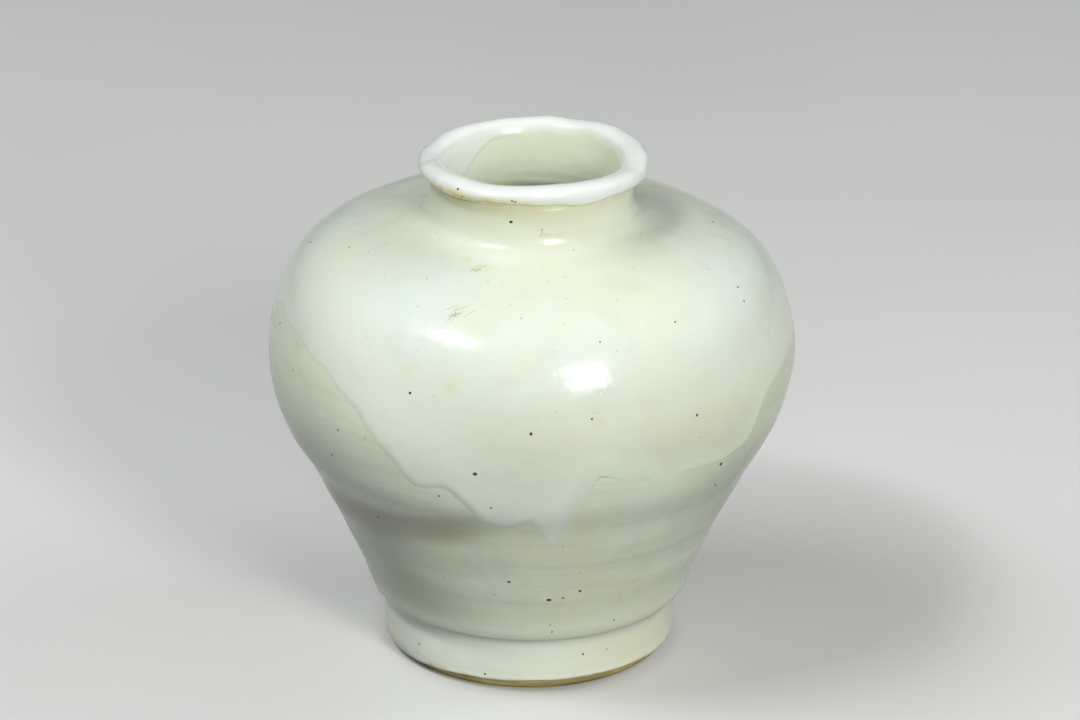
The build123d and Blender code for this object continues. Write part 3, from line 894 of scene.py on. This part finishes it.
def poured_finish(colours):
    """Second coat and lip: milky, thinner towards its edge, dirty in the creases, and with painted shade on
    the neck and the front of the shoulder.
    """
    finish = glaze_finish("white_glaze", colours.pour_cool, colours.pour_warm)
    finish.tint(finish.attribute("thinness"), colours.thin_cool)
    finish.tint(finish.attribute("milk"), colours.milk)
    # Cream, partly painted shade on the neck and the front of the shoulder
    finish.tint(finish.attribute("cream_and_shade"), colours.cream_and_shade)
    finish.tint(finish.attribute("white"), colours.lip_white)
    uneven = finish.spread(finish.noise(220.0, 4.0, low=0.36, high=0.62), 0.0, 1.0, 0.35, 1.0)
    finish.tint(finish.times(finish.attribute("stain"), uneven), colours.stain)
    return finish.done()


def thin_finish(colours):
    """First coat: greyer, with brown rings in the throwing marks, painted shade on its lower left, on its
    right and in the crease below the belly, and a toasted hem at the foot.
    """
    finish = glaze_finish("thin_glaze", colours.thin_cool, colours.thin_warm, gloss=(0.12, 0.24))
    x, y, z = add_node(finish.tree, "ShaderNodeSeparateXYZ", {0: finish.place}).outputs

    def between(value, start, end):
        """0 at start and 1 at end, in millimetres."""
        return finish.spread(value, start * MM, end * MM)

    def slanted(value, other, slope):
        return result_of(finish.tree, "ADD", value, finish.times(other, slope))

    finish.tint(finish.noise(330.0, 2.0, low=0.45, high=0.75, squeeze=(0.06, 0.06, 1.0)), RING_BROWN, 0.16)
    # Painted shade, darker towards the lower left above the collar
    left = finish.times(between(slanted(x, z, 0.88), 15, -7), between(z, 14, 26))
    finish.tint(left, LEFT_SHADE, 0.8)
    # Painted shade on the right side, above the lower wall
    right = finish.times(between(x, 34, 64), between(z, 38, 55))
    finish.tint(right, RIGHT_SHADE, 0.55)
    # Painted shade in the crease below the belly, on the front left
    slant = slanted(z, x, -0.25)
    band = finish.times(between(slant, 55, 63), between(slant, 74, 67))
    hollow = finish.times(band, between(x, -4, -24), between(y, 0, -20))
    finish.tint(hollow, CREASE_SHADE, 0.75)
    collar = finish.times(between(z, 28, 13), finish.noise(30.0, low=0.1, high=0.6))
    finish.tint(collar, colours.collar_white, 0.85)
    warm = finish.times(between(x, 0, 35), between(z, 24, 10))
    finish.tint(warm, COLLAR_WARM, 0.6)
    hem = finish.times(between(z, 5.8, 2.2), finish.noise(120.0, 4.0, low=0.3, high=0.7))
    finish.tint(hem, HEM_TOAST)
    return finish.done()


def liner_finish(colours):
    """Glaze inside: grey-green, with darker clouds."""
    finish = glaze_finish("liner_glaze", colours.thin_cool, colours.thin_warm)
    finish.tint(finish.noise(45.0, 5.0, low=0.45, high=0.75), LINER_GREEN, 0.15)
    return finish.done()


def clay_finish(name, light, dark, rough):
    """Bare fired clay: sandy, with turning lines and iron grains."""
    finish = Finish(name, {"Roughness": rough, "IOR": 1.45})
    finish.colour = finish.mix(finish.noise(70.0, 5.0), light, dark)
    lines = finish.noise(700.0, 2.0, low=0.4, high=0.7, squeeze=(0.05, 0.05, 1.0))
    finish.tint(lines, tuple(0.5 * c for c in dark), 0.4)
    finish.tint(finish.dots(600.0, 0.2, 0.15), SAND_BROWN, 0.6)
    finish.bump((finish.noise(1500.0, 4.0, low=0.2, high=0.8), 0.08), (lines, 0.05))
    return finish.done()


def iron_finish(colours):
    """Iron grains burnt through the glaze, dark in the middle and rusty."""
    finish = Finish("iron_specks", {"Roughness": 0.3, "IOR": 1.5})
    finish.colour = finish.mix(finish.noise(900.0, 2.0), colours.iron, SPECK_RUST)
    finish.tint(finish.attribute("rust"), PIT_RUST)
    finish.bump((finish.noise(4000.0, 2.0), 0.02))
    return finish.done()


def dirt_finish():
    """Grey-brown dirt in the worn hairlines."""
    finish = Finish("hairline_dirt", {"Roughness": 0.5, "IOR": 1.45})
    finish.colour = finish.mix(finish.noise(500.0), HAIR_DARK, HAIR_LIGHT)
    finish.bump((finish.noise(3000.0, 2.0), 0.01))
    return finish.done()


# Operators


class JAR_OT_stage(bpy.types.Operator):
    """Camera at the picture's angle, two softboxes, three soft fills, a pale floor and a plain world"""

    bl_idname = "jar.stage"
    bl_label = "Stage"

    def execute(self, context):
        scene = context.scene
        scene.view_settings.view_transform = "Standard"
        self.add_camera(scene)
        for name, lamp in SOFTBOXES.items():
            self.add_lamp(name, *lamp)
        for name, lamp in FILLS.items():
            self.add_lamp(name, *lamp).visible_glossy = False
        self.add_floor()
        self.set_world(scene)
        return {"FINISHED"}

    def add_camera(self, scene):
        lens = bpy.data.cameras.new("picture_camera")
        lens.lens, lens.sensor_width = CAMERA_LENS, CAMERA_SENSOR
        lens.clip_start, lens.clip_end = 0.05, 20.0
        camera = bpy.data.objects.new("picture_camera", lens)
        scene.collection.objects.link(camera)
        right, up, forward = camera_axes()
        rows = [(right[i], up[i], -forward[i], CAMERA_PLACE[i]) for i in range(3)]
        camera.matrix_world = Matrix(rows + [(0, 0, 0, 1)])
        scene.camera = camera

    def add_lamp(self, name, bearing, rise, distance, size, power, colour):
        """An area lamp that faces the jar from a bearing and a rise in degrees."""
        lamp = bpy.data.lights.new(name, "AREA")
        lamp.shape = "RECTANGLE"
        lamp.size, lamp.size_y = size
        lamp.energy = power
        lamp.color = colour
        holder = bpy.data.objects.new(name, lamp)
        bpy.context.scene.collection.objects.link(holder)
        towards = Vector(turned(*from_level(rise), bearing))
        holder.location = Vector(LAMP_AIM) + towards * distance
        holder.rotation_euler = (-towards).to_track_quat("-Z", "Y").to_euler()
        return holder

    def add_floor(self):
        mesh = bpy.data.meshes.new("pale_floor")
        corners = ((-1, -1), (1, -1), (1, 1), (-1, 1))
        mesh.from_pydata([(x * FLOOR_REACH, y * FLOOR_REACH, 0) for x, y in corners], [], [(0, 1, 2, 3)])
        floor = add_piece("pale_floor", mesh)
        finish = Finish("pale_floor", {"Roughness": 0.8})
        pale = finish.mix(finish.noise(3.0), FLOOR_LIGHT, FLOOR_CLOUD)
        finish.colour = finish.mix(self.seen(finish.tree), FLOOR_UNSEEN, pale)
        mesh.materials.append(finish.done())

    def seen(self, tree):
        """1 for rays from the camera, from gloss and through glass."""
        path = add_node(tree, "ShaderNodeLightPath")
        shown = result_of(tree, "MAXIMUM", path.outputs["Is Camera Ray"], path.outputs["Is Glossy Ray"])
        return result_of(tree, "MAXIMUM", shown, path.outputs["Is Transmission Ray"])

    def set_world(self, scene):
        world = bpy.data.worlds.new("plain_room")
        world.use_nodes = True
        tree = world.node_tree
        tree.nodes.clear()
        room = add_node(tree, "ShaderNodeBackground", {"Color": ROOM_GREY, "Strength": 1.0})
        add_node(tree, "ShaderNodeOutputWorld", {"Surface": room.outputs[0]})
        scene.world = world


class JAR_OT_clay(bpy.types.Operator):
    """Finishes of the clay sections and the slip in their seams, which keep their CAD shapes"""

    bl_idname = "jar.clay"
    bl_label = "Clay and slip"

    def execute(self, context):
        bare = tuple(context.scene.jar_colours.biscuit)
        dark, pale = (tuple(share * c for c in bare) for share in (DARK_CLAY, PALE_SLIP))
        biscuit = clay_finish("biscuit", bare, dark, rough=0.85)
        slip = clay_finish("slip", pale, bare, rough=0.9)
        for name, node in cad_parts.items():
            node.data.materials.clear()
            node.data.materials.append(slip if name.endswith("_slip") else biscuit)
        return {"FINISHED"}


class JAR_OT_thin_coat(bpy.types.Operator):
    """First coat over the thrown wall, from a wavy hem above the tread up to the lip"""

    bl_idname = "jar.thin_coat"
    bl_label = "Thin coat"

    def execute(self, context):
        coats = context.scene.jar_coats
        start, shoulder = (COLLAR_GLAZE.distance_at_height(z * MM) for z in (HEM_START, SHOULDER))
        spots = np.concatenate([
            start + np.array(HEM_ROWS) * MM, np.linspace(start + WALL_START * MM, shoulder, WALL_ROWS),
            np.linspace(shoulder, COLLAR_GLAZE.length, SHOULDER_ROWS)[1:]])
        place, lean = COLLAR_GLAZE.at(spots)
        above = spots - start
        outer = place + lean * self.thickness(coats.thin_coat, above, place[:, 1])[:, None]
        upper, lower, end = (CLAY.distance_at_height(z * MM) for z in (*BACK_TURNS, HEM_START))
        shoulder_rows, wall_rows, hem_rows = BACK_ROWS
        behind = np.concatenate([
            np.linspace(CLAY.length, upper, shoulder_rows), np.linspace(upper, lower, wall_rows)[1:-1],
            np.linspace(lower, end, hem_rows)])
        back, back_lean = CLAY.at(behind)
        inner = back + back_lean * BACK_GAP * MM
        section = np.concatenate([outer, inner, outer[:1]])
        leans = np.concatenate([lean, back_lean, lean[:1]])
        low, high = (fade * MM for fade in HEM_FADE)
        rough_low, rough_high = (height * MM for height in RELIEF_START)
        hidden = np.zeros(len(behind) + 1)
        free, back_free = step_up(above, low, high), step_up(behind - end, low, high)
        shares = {
            "relief": np.concatenate([step_up(place[:, 1], rough_low, rough_high), hidden]),
            "hem": np.concatenate([1 - free, 1 - back_free, [1.0]]),
            "outside": np.concatenate([free, hidden]),
        }
        piece = turned_piece("thin_coat", section, leans, shares, {
            "Columns": COLUMNS, "Ridge Height": coats.ridge_height, "Ridge Tilt": coats.ridge_tilt,
            "Wobble": coats.wobble, "Hem Wave": coats.hem_wave, "Seed": float(coats.seed),
            "Glaze": thin_finish(context.scene.jar_colours)}, DENTS)
        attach(piece, "root")
        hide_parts("body_glaze")
        return {"FINISHED"}

    def thickness(self, full, above, height):
        """Thickness of the coat, with a roll above its edge and a fillet above the groove."""
        edge = full * (0.08 + 0.92 * step_up(above, 0, 1.1 * MM))
        roll = 0.18 * MM * hump(above, 1.2 * MM, 0.8 * MM)
        fillet = 0.25 * MM * hump(height, 21 * MM, 1.7 * MM)
        return edge + roll + fillet


class JAR_OT_poured_coat(bpy.types.Operator):
    """Second coat over the shoulder and the belly, ending below in beaded drips"""

    bl_idname = "jar.poured_coat"
    bl_label = "Poured coat"

    def execute(self, context):
        wall = surface_of("thin_coat")
        seen = [seen_at(wall, x, y)[0] for x, y in DRIPS_SEEN]
        drips = [(math.degrees(math.atan2(p.x, -p.y)), p.z / MM) for p in seen] + DRIPS_BEHIND
        edge, mean_edge = (
            CLAY.distance_at_height(round_table(drips, BEARINGS, soft) * MM)
            for soft in (DRIP_SOFT, DRIP_MEAN))
        top = CLAY.length - POUR_GAP * MM
        near = np.array(EDGE_ROWS)[:, None] * MM
        share = np.linspace(0, 1, POUR_ROWS + 1)[1:, None]
        along = np.concatenate([edge + near, edge + near[-1] + share * (top - edge - near[-1])])
        bearings = np.broadcast_to(BEARINGS, along.shape)
        gap = self.distance_to_edge(along, edge)
        above = along - mean_edge
        place, lean = CLAY.at(along)
        spots = turned(place[..., 0], place[..., 1], bearings)
        out = self.wall_under(wall, place, lean)
        out += self.thickness(context.scene.jar_coats.pour_coat, along, gap, above, place[..., 1], bearings)
        out += 0.12 * MM * step_up(gap, 1 * MM, 8 * MM) * lumps(spots, 26 * MM)
        outer = place + lean * out[..., None]
        low = edge - EDGE_TUCK * MM
        back, back_lean = CLAY.at(np.linspace(1, 0, POUR_BACK_ROWS)[:, None] * (top - low) + low)
        inner = back + back_lean * (self.wall_under(wall, back, back_lean) - POUR_SINK * MM)[..., None]
        points = np.concatenate([outer, inner])
        tints = {
            key: np.concatenate([value, np.repeat(value[-1:], POUR_BACK_ROWS, axis=0)])
            for key, value in self.tints(wall, along, bearings, gap, above, spots).items()}
        mesh = ring_mesh("poured_coat", turned(points[..., 0], points[..., 1], BEARINGS), tints)
        piece = add_piece("poured_coat", mesh)
        piece.data.materials.append(poured_finish(context.scene.jar_colours))
        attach(piece, "root")
        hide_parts("pour_glaze")
        return {"FINISHED"}

    def distance_to_edge(self, along, edge):
        """Distance over the surface from each point to the lower edge."""
        radius = 70 * MM
        fine = np.arange(0, 360, 0.25)
        line = np.stack([np.radians(fine) * radius, np.interp(fine, BEARINGS, edge, period=360)], axis=1)
        line = np.concatenate([line - [math.tau * radius, 0], line, line + [math.tau * radius, 0]])
        gap = along - edge
        close = gap < 26 * MM
        for column, here in enumerate(np.radians(BEARINGS) * radius):
            part = line[np.abs(line[:, 0] - here) < 22 * MM]
            rows = np.nonzero(close[:, column])[0]
            spots = np.stack([np.full(len(rows), here), along[rows, column]], axis=1)
            gap[rows, column] = np.sqrt(((spots[:, None, :] - part[None]) ** 2).sum(axis=2)).min(axis=1)
        return np.where(along < edge, -np.abs(gap), gap)

    def wall_under(self, wall, place, lean):
        """How far the first coat stands out from the clay's line below this one."""
        start = 3 * MM
        sides = turned(lean[..., 0], lean[..., 1], BEARINGS)
        spots = turned(place[..., 0], place[..., 1], BEARINGS) + sides * start
        out = np.zeros(place.shape[:2])
        for row, column in np.ndindex(out.shape):
            hit = wall.ray_cast(Vector(spots[row, column]), Vector(-sides[row, column]))[3]
            if hit is None:
                raise RuntimeError("the poured coat has no wall under it")
            out[row, column] = start - hit
        return out

    def thickness(self, full, along, gap, above, height, bearings):
        """Thickness of the coat: its edge, its growth up the wall, its pools, its dents and its bead."""
        fade, step, bead = (
            round_table(table, BEARINGS, soft) * MM
            for table, soft in ((EDGE_FADE, 6), (EDGE_STEP, 3), (EDGE_BEAD, 3)))
        low, high = (rise * MM for rise in POUR_RISE)
        thick = step * (1 - np.exp(-((np.maximum(gap, 0) / fade) ** 1.4)))
        thick += (full - step) * step_up(above, low, high)
        even, _, lean, shift = pooled(*NECK_POOL)
        thick += np.interp(along, even, (shift * lean).sum(axis=1))
        thick += soft_dents(POUR_DENTS, height, bearings)
        thick += bead * hump(gap, 2.0 * fade, 1.4 * fade) * step_up(gap, 0, 1.2 * fade)
        thick -= 0.12 * MM * step_up(-gap, 0, EDGE_TUCK * MM)
        return thick - 0.03 * MM * (1 - step_up(gap, 0, 0.5 * MM))

    def tints(self, wall, along, bearings, gap, above, spots):
        """Where the coat is thin, milky, creamy or stained, and where shade is painted on the neck and the
        front of the shoulder.
        """
        height = CLAY.at(along)[0][..., 1]
        reach = round_table(THIN_REACH, bearings, 6) * MM
        thinness = round_table(THIN_SHARE, bearings, 6) * (1 - step_up(gap, 0, reach))
        milk = round_table(MILK_RUN, bearings, 6) * (1 - step_up(above, 8 * MM, 38 * MM))
        milk *= step_up(gap, 0, np.maximum(0.8 * reach, 1.5 * MM))
        # Cream on the neck: partly its yellower glaze, partly painted shade under the lip
        cream_and_shade = 0.25 * step_up(height, 126 * MM, 132 * MM) + 0.5 * step_up(height, 129 * MM, 141 * MM)
        cream_and_shade += 0.7 * hump(height, 87 * MM, 17 * MM) * round_table(BELLY_CREAM, bearings, 10)
        cream_and_shade *= (1 - 0.8 * milk) * (1 - thinness)
        # Painted shade over the front of the shoulder, laid in the cream tint
        cream_and_shade += 0.1 * step_up(height, 100 * MM, 116 * MM) * round_table(SHOULDER_SHADE, bearings, 10)
        stain = 0.6 * round_table(LIP_DIRT, bearings, 8) * hump(along, CLAY.length, 2.4 * MM)
        for x, y, size, strength in SMUDGES:
            away = spots - np.array(seen_at(wall, x, y)[0])
            stain += strength * np.exp(-(away**2).sum(axis=-1) / (size * MM) ** 2)
        return {
            "thinness": thinness, "white": 0 * thinness, "milk": milk, "cream_and_shade": np.clip(cream_and_shade, 0, 1),
            "stain": stain}


class JAR_OT_lip_coat(bpy.types.Operator):
    """Thick white glaze over the uneven lip, running down into the throat"""

    bl_idname = "jar.lip_coat"
    bl_label = "Lip coat"

    def execute(self, context):
        stations = np.array(LIP)
        line = stations[:, :2]
        outline = Outline(smooth_line(line, line[1] - line[0], np.diff(THROAT[:2], axis=0)[0], 700))
        spots = np.linspace(0, outline.length, LIP_ROWS)
        place, lean = outline.at(spots)
        nearest = [outline.along[np.argmin(np.hypot(*(outline.points - p * MM).T))] for p in line]
        top_share, hem_share = (np.interp(spots, nearest, stations[:, i]) for i in (2, 3))
        mouth, mouth_back = self.throat_glaze()
        fall = 0.97 * step_up(mouth[..., 1], 142.3 * MM, 147.2 * MM)
        lip_back = (place - lean * LIP_SINK * MM)[::-4]
        section = np.concatenate([all_round(place), mouth, mouth_back, all_round(lip_back)])
        top, hem = (
            np.concatenate([all_round(share), inside, inside[::-6], all_round(share[::-4])])
            for share, inside in ((top_share, fall), (hem_share, 0 * fall)))
        radius, height = section[..., 0], section[..., 1]
        wave, lower, wide = (
            round_table(table, BEARINGS, soft) * MM * context.scene.jar_coats.lip_wave
            for table, soft in ((LIP_WAVE, 3.0), (LIP_HEM, 2.5), (LIP_SPREAD, 6.0)))
        lift = np.maximum(top, hem)
        spots = turned(radius, height, BEARINGS)
        swell = MM * (0.26 * lumps(spots, 8 * MM, 3.7) + 0.1 * lumps(spots, 3.6 * MM, 1.3))
        z = height + top * wave + hem * lower + 0.5 * lift * swell
        r = radius + lift * (swell + wide * step_up(radius, 25 * MM, 31 * MM))
        mesh = ring_mesh("lip_coat", turned(r, z, BEARINGS), self.tints(radius, height))
        piece = add_piece("lip_coat", mesh)
        piece.data.materials.append(bpy.data.objects["poured_coat"].data.materials[0])
        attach(piece, "root")
        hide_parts("lip_glaze")
        return {"FINISHED"}

    def throat_glaze(self):
        """Face and back of the glaze that runs from the lip into the throat."""
        throat = Outline(open_line(THROAT, 400))
        end = np.interp(-MOUTH_END * MM, -throat.points[:, 1], throat.along)
        along = all_round(np.linspace(0, end, MOUTH_ROWS + 1)[1:])
        face, lean = throat.at(along)
        above = face[..., 1] - round_table(MOUTH_EDGE, BEARINGS, 2.0) * MM
        full, loss = MOUTH_COVER
        cover = full - loss * along / end
        cover -= round_table(MOUTH_RUN, BEARINGS, 4) * step_up(-above, -0.5 * MM, 0.9 * MM)
        cover -= (cover + 0.04) * step_up(along, end - 3 * MM, end)
        back, back_lean = throat.at(along[::-6])
        return face + lean * (cover * MM)[..., None], back - back_lean * MOUTH_SINK * MM

    def tints(self, radius, height):
        """Where the lip is white, and where it and the throat are creamy or stained."""
        bearings = np.broadcast_to(BEARINGS, radius.shape)
        inside = radius < MOUTH_RADIUS * MM
        soft = round_table(WHITE_FADE, bearings, 5) * MM
        boundary = round_table(MOUTH_WHITE, bearings, 2.0) * MM
        white_inside = round_table(WHITE_SHARE, bearings, 6) * step_up(height - boundary, -soft, soft)
        white = np.where(inside, white_inside, 0.9 * step_up(height, 143.2 * MM, 144.4 * MM))
        crease = hump(height, 143.4 * MM, 0.8 * MM) * (radius > 27 * MM)
        crease *= round_table(LIP_DIRT, bearings, 8)
        face = step_up(height, 143.2 * MM, 143.8 * MM) * step_up(height, 147.0 * MM, 145.4 * MM)
        yellow = face * (radius > 29.5 * MM) * round_table(LIP_YELLOW, bearings, 4)
        return {
            "thinness": 1.0 * inside, "white": white, "milk": 0.3 * inside,
            "cream_and_shade": 0.65 * inside * round_table(THROAT_CREAM, bearings, 8),
            "stain": np.clip(0.9 * crease + 0.9 * yellow, 0, 1)}


class JAR_OT_liner_coat(bpy.types.Operator):
    """Glaze inside, from the throat to the floor"""

    bl_idname = "jar.liner_coat"
    bl_label = "Liner coat"

    def execute(self, context):
        coats = context.scene.jar_coats
        outline = Outline(np.concatenate([open_line(THROAT, 400), open_line(HOLLOW, 700)[1:]]))
        rim, throat_end = LINER_RIM * MM, LINER_THROAT * MM
        throat_rows, hollow_rows = LINER_ROWS
        spots = np.concatenate([
            np.linspace(rim, throat_end, throat_rows),
            np.linspace(throat_end, outline.length, hollow_rows)[1:]])
        place, lean = outline.at(spots)
        back, back_lean = outline.at(np.linspace(outline.length, rim, LINER_BACK_ROWS))
        behind = back - back_lean * LINER_COAT * MM
        behind[:, 0] = np.maximum(behind[:, 0], LINER_POLE * MM)
        section = np.concatenate([place, behind, place[:1]])
        leans = np.concatenate([lean, back_lean, lean[:1]])
        relief = step_up(spots, 25 * MM, 40 * MM) * step_up(place[:, 0], 4 * MM, 12 * MM)
        relief = np.concatenate([relief, np.zeros(len(back) + 1)])
        shares = {"relief": relief, "hem": 0 * relief, "outside": 0 * relief}
        piece = turned_piece("liner_coat", section, leans, shares, {
            "Columns": LINER_COLUMNS, "Ridge Height": LINER_RIDGE * MM, "Ridge Tilt": coats.ridge_tilt,
            "Wobble": coats.wobble, "Hem Wave": 0.0, "Seed": float(coats.seed + 1),
            "Glaze": liner_finish(context.scene.jar_colours)})
        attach(piece, "root")
        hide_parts("liner_glaze")
        return {"FINISHED"}


class JAR_OT_iron_specks(bpy.types.Operator):
    """Iron grains burnt through the glaze, those in the picture and others round the back"""

    bl_idname = "jar.iron_specks"
    bl_label = "Iron specks"

    def execute(self, context):
        chance = random.Random(context.scene.jar_coats.seed)
        surface = surface_of("thin_coat", "poured_coat", "lip_coat")
        found = [(*seen_at(surface, x, y), GRAIN_SHARE * size) for x, y, size in RUST + SPECKS]
        for _ in range(BACK_SPECKS):
            bearing = math.radians(chance.uniform(*BACK_BEARINGS))
            height = chance.uniform(*BACK_HEIGHTS) * MM
            side = Vector((math.sin(bearing), -math.cos(bearing), 0))
            point, normal, _, _ = surface.ray_cast(side * 0.2 + Vector((0, 0, height)), -side)
            found.append((point, normal, chance.uniform(*BACK_RADII)))
        points, normals, sizes = zip(*found)
        mesh = bpy.data.meshes.new("iron_specks")
        mesh.from_pydata([p - n * GRAIN_SINK * MM for p, n in zip(points, normals)], [], [])
        keep_direction(mesh, "facing", normals)
        keep_value(mesh, "size", np.array(sizes, np.float32) * MM)
        keep_value(mesh, "stretch", [chance.uniform(0.75, 1.35) for _ in found])
        keep_value(mesh, "rust", np.arange(len(found)) < len(RUST))
        piece = run_tree(speck_tree(), mesh, "iron_specks", {
            "Flatness": GRAIN_FLATNESS, "Iron": iron_finish(context.scene.jar_colours)})
        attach(piece, "root")
        return {"FINISHED"}


class JAR_OT_hairlines(bpy.types.Operator):
    """Worn patches of fine dirty hairlines on the shoulder and the neck"""

    bl_idname = "jar.hairlines"
    bl_label = "Worn hairlines"

    def execute(self, context):
        chance = random.Random(context.scene.jar_coats.seed + 3)
        surface = surface_of("thin_coat", "poured_coat", "lip_coat")
        points, edges = [], []
        for x, y, spread, count in SCUFFS:
            middle, normal = seen_at(surface, x, y)
            level = Vector((0, 0, 1)).cross(normal).normalized()
            rise = normal.cross(level)
            for _ in range(count):
                turn = chance.gauss(0.9, 0.5)
                way = level * math.cos(turn) + rise * math.sin(turn)
                aside = level * chance.gauss(0, HAIR_SCATTER) + rise * chance.gauss(0, HAIR_SCATTER)
                start = middle + aside * spread * MM
                length = chance.uniform(0.5, 1.3) * spread * MM
                curl = chance.uniform(-0.25, 0.25)
                edges += [(len(points) + k, len(points) + k + 1) for k in range(HAIR_STEPS)]
                for k in range(HAIR_STEPS + 1):
                    t = k / HAIR_STEPS - 0.5
                    spot = start + way * length * t + normal.cross(way) * length * curl * t * t
                    points.append(surface.find_nearest(spot)[0])
        mesh = bpy.data.meshes.new("hairlines")
        mesh.from_pydata(points, edges, [])
        piece = run_tree(hairline_tree(), mesh, "hairlines", {
            "Radius": HAIR_RADIUS * MM, "Dirt": dirt_finish()})
        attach(piece, "root")
        return {"FINISHED"}


STEPS = (JAR_OT_stage, JAR_OT_clay, JAR_OT_thin_coat, JAR_OT_poured_coat, JAR_OT_lip_coat,
         JAR_OT_liner_coat, JAR_OT_iron_specks, JAR_OT_hairlines)


class JAR_PT_panel(bpy.types.Panel):
    """Lists the jar's sizes, colours and pieces"""

    bl_idname = "JAR_PT_panel"
    bl_label = "Porcelain jar"
    bl_space_type = "VIEW_3D"
    bl_region_type = "UI"
    bl_category = "Jar"

    def draw(self, context):
        layout = self.layout
        for group in (context.scene.jar_coats, context.scene.jar_colours):
            box = layout.box()
            for key in group.bl_rna.properties.keys():
                if key not in {"rna_type", "name"}:
                    box.prop(group, key)
        for step in STEPS:
            layout.operator(step.bl_idname)


CLASSES = (JarCoats, JarColours, *STEPS, JAR_PT_panel)


def register():
    for cls in CLASSES:
        bpy.utils.register_class(cls)
    bpy.types.Scene.jar_coats = PointerProperty(type=JarCoats)
    bpy.types.Scene.jar_colours = PointerProperty(type=JarColours)


def unregister():
    del bpy.types.Scene.jar_coats
    del bpy.types.Scene.jar_colours
    for cls in reversed(CLASSES):
        bpy.utils.unregister_class(cls)


def main():
    register()
    bpy.ops.jar.stage()
    bpy.ops.jar.clay()
    bpy.ops.jar.thin_coat()
    bpy.ops.jar.poured_coat()
    bpy.ops.jar.lip_coat()
    bpy.ops.jar.liner_coat()
    bpy.ops.jar.iron_specks()
    bpy.ops.jar.hairlines()


if __name__ == "__main__":
    main()
